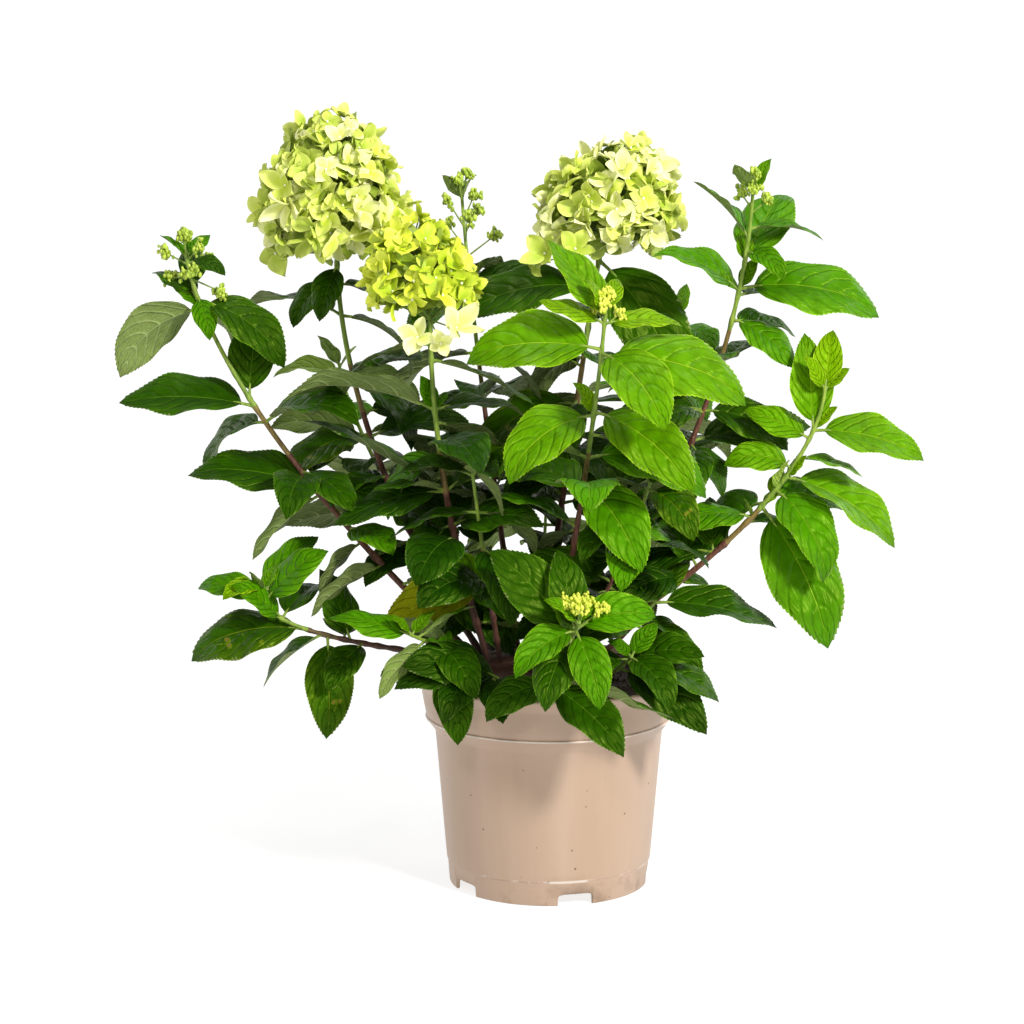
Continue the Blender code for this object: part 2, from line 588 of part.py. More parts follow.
def floret_places(panicle):
    """Centres and outward directions of the florets, spaced evenly down the outline by the golden turn."""
    low, top = panicle_axis(panicle)
    draw = random.Random(panicle["seed"])
    rows = []
    number = panicle["florets"]
    for k in range(number):
        share = 0.98 - 0.93 * (k + 0.5) / number
        turn = k * GOLDEN_TURN + draw.uniform(-0.25, 0.25)
        widest = panicle["radius"] * MM - FLORET_CUP
        radius = panicle_radius(share, widest) * draw.uniform(0.93, 1.0)
        slope = (panicle_radius(min(share + 0.02, 1), widest) - panicle_radius(max(share - 0.02, 0), widest)) / 0.04
        height = np.linalg.norm(top - low)
        flat = np.array([math.cos(turn), math.sin(turn), 0.0])
        out = flat * height - np.array([0, 0, slope])
        out /= np.linalg.norm(out)
        rows.append((low + (top - low) * share + flat * radius, out, draw.uniform(0, math.pi / 2)))
    return rows


def floret(centre, out, spin):
    """Four sepals in a shallow cup: four tips round a lower centre, closed by a point that roots in the core."""
    side = np.cross(out, (0.31, 0.22, 0.93))
    side /= np.linalg.norm(side)
    over = np.cross(out, side)
    turns = [spin + j * math.pi / 2 for j in range(4)]
    corners = [centre + FLORET_RADIUS * (math.cos(turn) * side + math.sin(turn) * over) for turn in turns]
    corners += [centre - out * FLORET_CUP, centre - out * FLORET_RADIUS]
    faces = []
    for j in range(4):
        following = (j + 1) % 4
        faces += [(4, j, following), (5, following, j)]
    return corners, faces


def make_panicle(name, panicle, plant, obstacles):
    """Rachis, egg-shaped core and the florets that stand out of it, joined in one solid."""
    low, top = panicle_axis(panicle)
    shoot = SHOOTS[panicle["shoot"]]
    way = heading_at(shoot, 1.0)
    radius = stem_radius(shoot, 1.0)
    start = low + way * 1.5 * GAP
    rachis = tube_mesh(tube(name + "_rachis", [start, start + way * 3 * MM, low + (top - low) * 0.5],
                            [radius, radius, radius * 0.8], 1, "floret", plant))
    bm = bmesh.new()
    bmesh.ops.create_uvsphere(bm, u_segments=CORE_SIDES, v_segments=CORE_RINGS + 2, radius=1.0)
    for vertex in bm.verts:
        share = min(0.97, max(0.05, 0.5 + 0.5 * vertex.co.z))
        flat = Vector((vertex.co.x, vertex.co.y, 0))
        flat = flat.normalized() if flat.length > 1e-6 else flat
        reach = CORE_SHARE * panicle_radius(share, panicle["radius"] * MM) if flat.length > 0 else 0.0
        vertex.co = Vector(low + (top - low) * share) + flat * reach
    base = add_object(name, mesh_of(name, bm), "floret", plant)
    pieces = [rachis]
    for centre, out, spin in floret_places(panicle):
        corners, faces = floret(centre, out, spin)
        tree = BVHTree.FromPolygons(corners, faces)
        if not any(tree.overlap(other) for other in obstacles):
            pieces.append(piece_mesh(name + "_floret", corners, faces))
    return fuse(base, pieces)


def build():
    clear_scene()
    plant = bpy.data.collections.new("potted_hydrangea")
    cutters = bpy.data.collections.new("cutters")
    bpy.context.scene.collection.children.link(plant)
    bpy.context.scene.collection.children.link(cutters)
    pot = make_pot(plant, cutters)
    compost = make_compost(plant)
    crown = make_root_crown(plant)
    fixed = [tree_of(evaluated_mesh(thing)) for thing in (pot, compost, crown)]

    canes, stems = {}, {}
    for name, shoot in SHOOTS.items():
        points, radii = stretch(shoot, 0.0, shoot["leafy"], 5)
        cane = tube("cane_" + name, points, radii, 1, "cane_bark", plant)
        canes[name] = tree_of(evaluated_mesh(cane))
        points, radii = stretch(shoot, shoot["leafy"], 1.0, 7)
        points[0] = points[0] + heading_at(shoot, shoot["leafy"]) * 1.5 * GAP
        stem = tube("stem_" + name, points, radii, 0, "leaf", plant)
        stems[name] = tube_mesh(stem)
    stem_trees = {name: tree_of(mesh) for name, mesh in stems.items()}

    blossoms = []
    for name, panicle in PANICLES.items():
        others = blossoms + [t for s, t in stem_trees.items() if s != panicle["shoot"]]
        blossoms.append(tree_of(make_panicle(name, panicle, plant, others).data))

    grown = []
    for name, shoot in SHOOTS.items():
        others = fixed + list(canes.values()) + blossoms + grown
        others += [tree for other, tree in stem_trees.items() if other != name]
        leaves = fitted_leaves(shoot, others)
        pieces = [piece_mesh("leaf", *blade(leaf)) for leaf in leaves]
        pieces += [piece_mesh("bud", *club) for club in bud_clubs(shoot)]
        base = add_object("leaves_" + name, stems[name], "leaf", plant)
        grown.append(tree_of(fuse(base, pieces).data))


build()
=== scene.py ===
import math
import random
from functools import partial

import bpy
import numpy as np
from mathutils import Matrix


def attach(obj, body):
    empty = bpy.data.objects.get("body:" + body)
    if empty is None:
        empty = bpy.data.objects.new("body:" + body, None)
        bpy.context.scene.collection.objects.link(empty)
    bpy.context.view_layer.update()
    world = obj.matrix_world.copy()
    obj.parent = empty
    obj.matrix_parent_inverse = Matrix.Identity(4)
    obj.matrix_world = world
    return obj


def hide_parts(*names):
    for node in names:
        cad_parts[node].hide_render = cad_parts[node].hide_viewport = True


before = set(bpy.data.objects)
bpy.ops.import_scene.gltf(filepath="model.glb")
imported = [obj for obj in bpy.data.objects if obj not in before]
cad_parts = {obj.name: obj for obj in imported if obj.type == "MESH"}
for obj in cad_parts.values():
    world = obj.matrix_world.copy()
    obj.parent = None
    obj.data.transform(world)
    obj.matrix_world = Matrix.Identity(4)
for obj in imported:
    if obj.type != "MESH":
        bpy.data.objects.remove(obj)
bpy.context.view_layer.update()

# Studio: a white cove that goes all the way round, and a camera at the photograph's place and angle. A
# strong small key hangs high at the right and a weaker one near the camera, with a soft top light and two
# behind for the edges.

MM = 0.001
COVE_FLOOR, COVE_BEND, COVE_END = 2.8, 0.9, 5.3
COVE_ROWS, COVE_COLUMNS = 60, 96
SHARP_DEG = 80
CAMERA_PLACE = (-0.0255, -2.0, 0.59)
CAMERA_PITCH_DEG = 9.37
CAMERA_LENS_MM, CAMERA_SENSOR_MM = 103.68, 36.0
LAMP_AIM = np.array([0, 0, 0.3])
# Name, place, watts, side of its square in metres and colour
LAMPS = (("key_right", (1.15, -1.5, 1.35), 52, 0.3, "#FFFCF6"),
         ("key_left", (-0.4, -1.75, 1.45), 9, 0.3, "#FFFCF6"),
         ("top", (0.1, 0.1, 2.3), 16, 1.0, "#FFFFFF"),
         ("rim_left", (-1.7, 1.2, 1.2), 6, 1.2, "#FFFFFF"),
         ("rim_right", (1.6, 1.4, 1.3), 8, 1.2, "#FFFFFF"))


def linear(hex_colour):
    """sRGB hex to linear: a channel c becomes c/12.92 up to 0.04045, else ((c+0.055)/1.055) to the power
    2.4."""
    shares = np.array([int(hex_colour[k:k + 2], 16) for k in (1, 3, 5)]) / 255
    turned = np.where(shares <= 0.04045, shares / 12.92, ((shares + 0.055) / 1.055) ** 2.4)
    return (*[float(share) for share in turned], 1.0)


def fill(made, sockets):
    """Fills a node's sockets, each given by its name or number: another node's output is linked, a hex
    colour is turned to linear, and any other value is set."""
    for key, value in sockets.items():
        if isinstance(value, bpy.types.NodeSocket):
            made.id_data.links.new(value, made.inputs[key])
        else:
            made.inputs[key].default_value = linear(value) if isinstance(value, str) else value


def add_node(tree, kind, *values, out=None, **named):
    """Adds one node and gives its first open output, or the one named. The values fill its open sockets in
    order. A name in small letters is a setting of the node, and one with a capital is a socket."""
    made = tree.nodes.new("ShaderNode" + kind)
    for name, value in named.items():
        if name.islower():
            setattr(made, name, value)
    open_sockets = [number for number, socket in enumerate(made.inputs) if socket.enabled]
    fill(made, dict(zip(open_sockets, values)))
    fill(made, {name.replace("_", " "): value for name, value in named.items() if not name.islower()})
    return made.outputs[out] if out else next(socket for socket in made.outputs if socket.enabled)


def new_finish(name, **sockets):
    """A Principled material with these sockets filled: gives it, what adds nodes to it, and its shader."""
    finish = bpy.data.materials.new(name)
    finish.use_nodes = True
    shader = finish.node_tree.nodes["Principled BSDF"]
    fill(shader, {socket.replace("_", " "): value for socket, value in sockets.items()})
    return finish, partial(add_node, finish.node_tree), shader


def once_round(columns):
    """Turns evenly spaced once round, in radians."""
    return np.linspace(0, 2 * math.pi, columns, endpoint=False)


def grid_faces(rows, columns, wrap=False):
    """Quads of a grid of points, row by row; wrap joins the last column to the first."""
    row, column = np.meshgrid(np.arange(rows - 1), np.arange(columns if wrap else columns - 1), indexing="ij")
    a = row * columns + column
    b = row * columns + (column + 1) % columns
    return np.stack([a, b, b + columns, a + columns], -1).reshape(-1, 4)


def make_piece(name, chunks, finish):
    """One mesh object from chunks, each its points and a list of faces with their map places or None. It is
    smooth but for edges of more than 80 degrees, such as the margin of a leaf."""
    offset, points, loops, totals, places = 0, [], [], [], []
    mapped = any(place is not None for _, groups in chunks for _, place in groups)
    for spots, groups in chunks:
        for faces, place in groups:
            loops.append((faces + offset).ravel())
            totals.append(np.full(len(faces), faces.shape[1]))
            if mapped:
                places.append(place.reshape(-1, 2))
        points.append(spots)
        offset += len(spots)
    points, loops, totals = (np.concatenate(part) for part in (points, loops, totals))
    mesh = bpy.data.meshes.new(name)
    mesh.vertices.add(len(points))
    mesh.vertices.foreach_set("co", points.ravel())
    mesh.loops.add(len(loops))
    mesh.loops.foreach_set("vertex_index", loops.astype(np.int32))
    mesh.polygons.add(len(totals))
    mesh.polygons.foreach_set("loop_start", (np.cumsum(totals) - totals).astype(np.int32))
    mesh.polygons.foreach_set("loop_total", totals.astype(np.int32))
    mesh.polygons.foreach_set("use_smooth", np.ones(len(totals), bool))
    if mapped:
        mesh.uv_layers.new(name="OFBake").data.foreach_set("uv", np.concatenate(places).ravel())
    mesh.update(calc_edges=True)
    mesh.set_sharp_from_angle(angle=math.radians(SHARP_DEG))
    mesh.materials.append(finish)
    piece = bpy.data.objects.new(name, mesh)
    bpy.context.scene.collection.objects.link(piece)
    return piece


def cove(along, turn):
    """Flat floor, a quarter circle and an upright wall: the profile is carried round the middle."""
    bent = np.clip(along - COVE_FLOOR, 0, COVE_BEND * math.pi / 2) / COVE_BEND
    radius = np.clip(along, 0, COVE_FLOOR) + COVE_BEND * np.sin(bent)
    height = COVE_BEND * (1 - np.cos(bent)) + np.clip(along - COVE_FLOOR - COVE_BEND * math.pi / 2, 0, None)
    return np.stack([radius * np.cos(turn), radius * np.sin(turn), height], -1)


# Matt lit panel: it glows evenly under the plant and behind it, and is dimmer at the camera's side
paint, node, paint_shader = new_finish("white_cove_panel", Base_Color="#959595", Roughness=0.95,
                                       Specular_IOR_Level=0.0, Emission_Color="#FFFFFF")
paint.cycles.emission_sampling = "NONE"
paint_place = node("TexCoord", out="Object")
paint_reach = node("VectorMath", paint_place, operation="LENGTH")
paint_depth = node("SeparateXYZ", paint_place, out="Y")
paint_glow = node("Math", node("MapRange", paint_reach, 1.0, 1.8, 0.78, 0.0),
                  node("MapRange", paint_depth, -2.5, 1.2, 0.4, 0.85), operation="MAXIMUM")
fill(paint_shader, {"Emission Strength": paint_glow})
cove_grid = np.meshgrid(np.linspace(0.001, COVE_END, COVE_ROWS), once_round(COVE_COLUMNS), indexing="ij")
cove_faces = grid_faces(COVE_ROWS, COVE_COLUMNS, True)
cove_piece = make_piece("white_cove", [(cove(*cove_grid).reshape(-1, 3), [(cove_faces, None)])], paint)

camera = bpy.data.cameras.new("photo_camera")
camera.lens = CAMERA_LENS_MM
camera.sensor_width = CAMERA_SENSOR_MM
camera_object = bpy.data.objects.new("photo_camera", camera)
camera_object.location = CAMERA_PLACE
camera_object.rotation_euler = (math.radians(90 - CAMERA_PITCH_DEG), 0, 0)
bpy.context.scene.collection.objects.link(camera_object)
bpy.context.scene.camera = camera_object

for lamp_name, lamp_place, watts, lamp_side, lamp_colour in LAMPS:
    lamp = bpy.data.lights.new(lamp_name, "AREA")
    lamp.energy = watts
    lamp.size = lamp_side
    lamp.color = linear(lamp_colour)[:3]
    lamp_object = bpy.data.objects.new(lamp_name, lamp)
    lamp_object.location = lamp_place
    lamp_object.visible_camera = False
    x, y, z = LAMP_AIM - lamp_place
    lamp_object.rotation_euler = (math.atan2(math.hypot(x, y), -z), 0, math.atan2(-x, y))
    bpy.context.scene.collection.objects.link(lamp_object)
room = bpy.data.worlds.new("white_room")
room.use_nodes = True
fill(room.node_tree.nodes["Background"], {"Color": "#FFFFFF", "Strength": 0.15})
bpy.context.scene.world = room
bpy.context.scene.view_settings.view_transform = "Standard"


# Nursery pot: taupe recycled polypropylene, injection moulded in one piece. It has a thin wall with a
# stepped collar, a rolled lip and a foot ring with five drainage notches round a flat pad.

POT_COLUMNS = 180
POT_NOTCHES = 5
NOTCH_FIRST_DEG, NOTCH_HALF_DEG, NOTCH_RISE = -75, 10.4, 8.0
NOTCH_STEPS_DEG = (-1.2, -0.6, -0.25, -0.08, 0.0, 0.05)
# Radius and height in mm, from the middle of the inside floor up, over the lip and down to the foot
POT_SECTION = ((30, 10.8), (66, 10.8), (68.9, 12), (76.9, 108), (82.6, 116), (83.4, 120), (86.5, 138),
               (91.6, 143.6), (92.9, 145.6), (93.3, 147.4), (93.9, 148.3), (94.8, 148.6), (95.5, 148.1),
               (95.8, 147.2), (95.4, 146.2), (94.2, 144.8), (91.4, 141.8), (89.2, 139.2), (88.4, 137.2),
               (87.3, 131), (86.1, 124.6), (85.2, 119.9), (84.6, 119.0), (85.6, 118.4), (85.8, 117.6),
               (84.4, 116.5), (82.2, 113.5), (79.6, 110), (78.8, 108.2), (77.4, 93), (75.4, 69), (73.4, 45),
               (71.6, 24), (71.0, 17.6), (70.9, 17.1), (70.5, 16.8), (70.3, 16))
FOOT_SECTION = ((69.2, 1.2), (68.8, 0.3), (68.0, 0.0), (67.4, 0.0), (66.8, 0.4), (66.4, 9.0))
FOOT_TOP = 9.0
PAD_SECTION = ((24.5, 9.0), (23.4, 8.4), (22.4, 0.6), (21.8, 0.0))


def notch_lift(turn):
    """Rise of the foot's edge in mm: over a notch it is the rise times (1 - x^6)^(1/6), square with round
    corners, and between notches nothing."""
    pitch = 2 * math.pi / POT_NOTCHES
    off = (turn - math.radians(NOTCH_FIRST_DEG) + pitch / 2) % pitch - pitch / 2
    x = np.clip(np.abs(off) / math.radians(NOTCH_HALF_DEG), 0, 1)
    return NOTCH_RISE * (1 - x ** 6) ** (1 / 6)


def pot_wall(turn):
    """The section's radius and height carried round the axis; the foot's rows ride up where a notch is, by
    less the higher they are."""
    rows = [(r, z, 0) for r, z in POT_SECTION]
    rows += [(r, z, 1 - z / FOOT_TOP) for r, z in FOOT_SECTION]
    rows += [(r, z, 0) for r, z in PAD_SECTION]
    radius, height, share = (np.array(part)[:, None] for part in zip(*rows))
    height = height + share * notch_lift(turn)
    return np.stack([radius * np.cos(turn), radius * np.sin(turn), height], -1) * MM


def closed_body(points, places=None):
    """Rings of points joined in a tube, with a middle point at each end. The faces are turned outwards
    where the signed volume, a sixth of the sum of each triangle's triple product, comes out negative."""
    rows, columns = points.shape[:2]
    ring = np.arange(columns)
    after = (ring + 1) % columns
    start = (rows - 1) * columns
    quads = grid_faces(rows, columns, True)
    fans = np.concatenate([np.stack([after, ring, 0 * ring + rows * columns], -1),
                           np.stack([start + ring, start + after, 0 * ring + rows * columns + 1], -1)])
    spots = np.concatenate([points.reshape(-1, 3), [points[0].mean(0), points[-1].mean(0)]])
    quad_places = fan_places = None
    if places is not None:
        left, right = places
        quad_places = np.stack([left[:-1], right[:-1], right[1:], left[1:]], 2).reshape(-1, 4, 2)
        ends = [(right[0], left[0]), (left[-1], right[-1])]
        fan_places = np.concatenate([np.stack([a, b, (a + b) / 2], 1) for a, b in ends])
    triangles = np.concatenate([quads[:, (0, 1, 2)], quads[:, (0, 2, 3)], fans])
    a, b, c = (spots[triangles[:, k]] - spots[0] for k in range(3))
    if (a * np.cross(b, c)).sum() < 0:
        quads, fans = quads[:, ::-1], fans[:, ::-1]
        if places is not None:
            quad_places, fan_places = quad_places[:, ::-1], fan_places[:, ::-1]
    return spots, [(quads, quad_places), (fans, fan_places)]


def coated(node, base, *coats):
    """The base colour with coats laid over it in turn. Each coat is its colour and then the shares whose
    product says how much it hides."""
    for colour, share, *others in coats:
        for other in others:
            share = node("Math", share, other, operation="MULTIPLY")
        base = node("Mix", share, base, colour, data_type="RGBA")
    return base


# Moulded polypropylene: satin, with faint flow streaks that run up the wall, dark flecks of recycled stock,
# dust at the foot, pale rubbed edges on the foot's step, a painted highlight on the bead, and fine orange
# peel
polypropylene, node, pot_shader = new_finish("moulded_taupe_polypropylene", Roughness=0.42, IOR=1.49)
pot_place = node("TexCoord", out="Object")
pot_height = node("SeparateXYZ", pot_place, out="Z")
flow_place = node("Mapping", pot_place, Scale=(1 / (38.5 * MM), 1 / (38.5 * MM), 1 / (625 * MM)))
flow = node("TexNoise", Vector=flow_place, Scale=1.0, Detail=4.0, Roughness=0.6)
flecks = node("TexVoronoi", Vector=pot_place, Scale=1 / (8.7 * MM))
fleck_pick = node("SeparateColor", flecks.node.outputs["Color"], out="Red")
dust = node("TexNoise", Vector=pot_place, Scale=1 / (23.8 * MM), Detail=6.0, Roughness=0.65)
pot_colour = coated(
    node, "#A98F79",
    ("#B29985", node("MapRange", flow, 0.3, 0.72)),
    ("#5A4636", node("MapRange", flecks, 0.05, 0.11, 1.0, 0.0),
     node("Math", fleck_pick, 0.74, operation="GREATER_THAN")),
    ("#7A614C", node("MapRange", pot_height, 0.0, 24 * MM, 0.8, 0.0), node("MapRange", dust, 0.5, 0.68)),
    ("#F0E6DC", node("MapRange", pot_height, 15.8 * MM, 16.8 * MM),
     node("MapRange", pot_height, 17.2 * MM, 18.4 * MM, 1.0, 0.0),
     node("MapRange", dust, 0.5, 0.6, 0.0, 0.7)),
    # Pale line along the crest of the bead under the collar: a painted highlight
    ("#F0E6DC", node("MapRange", pot_height, 117.4 * MM, 117.7 * MM, 0.0, 0.6),
     node("MapRange", pot_height, 118.4 * MM, 118.8 * MM, 1.0, 0.0)))
peel = node("TexNoise", Vector=pot_place, Scale=1 / (1.11 * MM), Detail=2.0)
pot_bump = node("Bump", Strength=0.12, Distance=0.3 * MM, Height=peel)
fill(pot_shader, {"Base Color": pot_colour, "Normal": pot_bump})

# Columns bunch up at the two sides of each notch, so that they stand upright
notch_sides = [math.radians(NOTCH_FIRST_DEG + 360 / POT_NOTCHES * k + way * (NOTCH_HALF_DEG + step))
               for k in range(POT_NOTCHES) for way in (-1, 1) for step in NOTCH_STEPS_DEG]
notch_turns = np.array(notch_sides) % (2 * math.pi)
pot_turns = np.unique(np.concatenate([once_round(POT_COLUMNS), notch_turns]).round(6))
nursery_pot = make_piece("nursery_pot", [closed_body(pot_wall(pot_turns))], polypropylene)
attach(nursery_pot, "root")
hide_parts("pot")


# Compost: moist peat and composted bark that fills the pot to just under the lip, uneven and crumbly, with
# loose crumbs and bits of bark on it.

# Radius and height of the top in mm; then share of its radius and height in mm down the pot's inside
COMPOST_SECTION = ((0, 149.6), (20, 149.8), (40, 149.6), (60, 149.2), (75, 147.4), (84, 145.8), (90, 144.2),
                   (91.4, 143.2))
COMPOST_SIDE = ((0.94, 137.5), (0.90, 119), (0.83, 107.5), (0.74, 11.8))
COMPOST_ROWS, COMPOST_COLUMNS = 64, 150
CRUMBS = 520


def waves(points, size, seed, octaves=4):
    """Smooth noise: a sum of sine waves in random directions, each octave half as long and 0.55 as high."""
    draw = np.random.default_rng(seed)
    total = np.zeros(points.shape[:-1])
    for octave in range(octaves):
        for _ in range(5):
            way = draw.normal(size=3)
            way = way / np.linalg.norm(way) * 2 * math.pi * 2 ** octave / size
            total += 0.55 ** octave * np.sin(points @ way + draw.uniform(0, 2 * math.pi))
    return total / 4


def compost_top(share, turn):
    """A shallow mound: the section's height over its radius, plus waves of 13 mm that fade at the wall."""
    radii, heights = (np.array(part) for part in zip(*COMPOST_SECTION))
    radius = share * radii[-1]
    flat = np.stack([radius * np.cos(turn), radius * np.sin(turn), 0 * radius], -1)
    rough = waves(flat, 13.0, 5) * 1.1 * np.clip((1.02 - share) * 6, 0, 1)
    flat[..., 2] = np.interp(radius, radii, heights) + rough
    return flat * MM


def unit_ball(rows, columns):
    """Points of a sphere by latitude and longitude, its poles left as tiny rings."""
    high, turn = np.meshgrid(np.linspace(0.15, math.pi - 0.15, rows), once_round(columns), indexing="ij")
    return np.stack([np.sin(high) * np.cos(turn), np.sin(high) * np.sin(turn), np.cos(high)], -1)


compost_grid = np.meshgrid(np.linspace(0.01, 1, COMPOST_ROWS), once_round(COMPOST_COLUMNS), indexing="ij")
compost_rows = compost_top(*compost_grid)
compost_side = [compost_rows[-1] * (share, share, 0) + (0, 0, high * MM) for share, high in COMPOST_SIDE]
compost_chunks = [closed_body(np.concatenate([compost_rows, compost_side]))]
crumb_draw = np.random.default_rng(17)
for _ in range(CRUMBS):
    spot = compost_top(np.sqrt(crumb_draw.uniform(0, 0.98, 1)), crumb_draw.uniform(0, 2 * math.pi, 1))[0]
    lumpy = unit_ball(4, 6) * (1 + 0.25 * crumb_draw.normal(size=(4, 6, 1)))
    lean = crumb_draw.uniform(0, math.pi)
    x, y, z = np.moveaxis(lumpy * crumb_draw.uniform(0.5, 2.1, 3) * (1.3, 1.0, 0.7), -1, 0)
    spun = np.stack([x * math.cos(lean) - y * math.sin(lean), x * math.sin(lean) + y * math.cos(lean), z], -1)
    compost_chunks.append(closed_body(spun * MM + spot))

# Moist peat: nearly black brown crumbs of 2.4 mm with paler fibres, quite dull
peat, node, peat_shader = new_finish("moist_peat_compost", Roughness=0.9)
peat_grains = node("TexNoise", Vector=node("TexCoord", out="Object"), Scale=1 / (2.38 * MM), Detail=8.0,
                   Roughness=0.7)
peat_colour = coated(node, "#1E1510", ("#5B4334", node("MapRange", peat_grains, 0.35, 0.75)))
peat_bump = node("Bump", Strength=0.8, Distance=1 * MM, Height=peat_grains)
fill(peat_shader, {"Base Color": peat_colour, "Normal": peat_bump})

compost_fill = make_piece("compost_fill", compost_chunks, peat)
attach(compost_fill, "root")
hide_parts("compost")


# Canes: the woody lower part of each shoot, grown from a low woody crown. Their bark is thin, red-brown and
# lightly flaking, they swell at each pair of leaves, and towards the top they turn olive and then green.

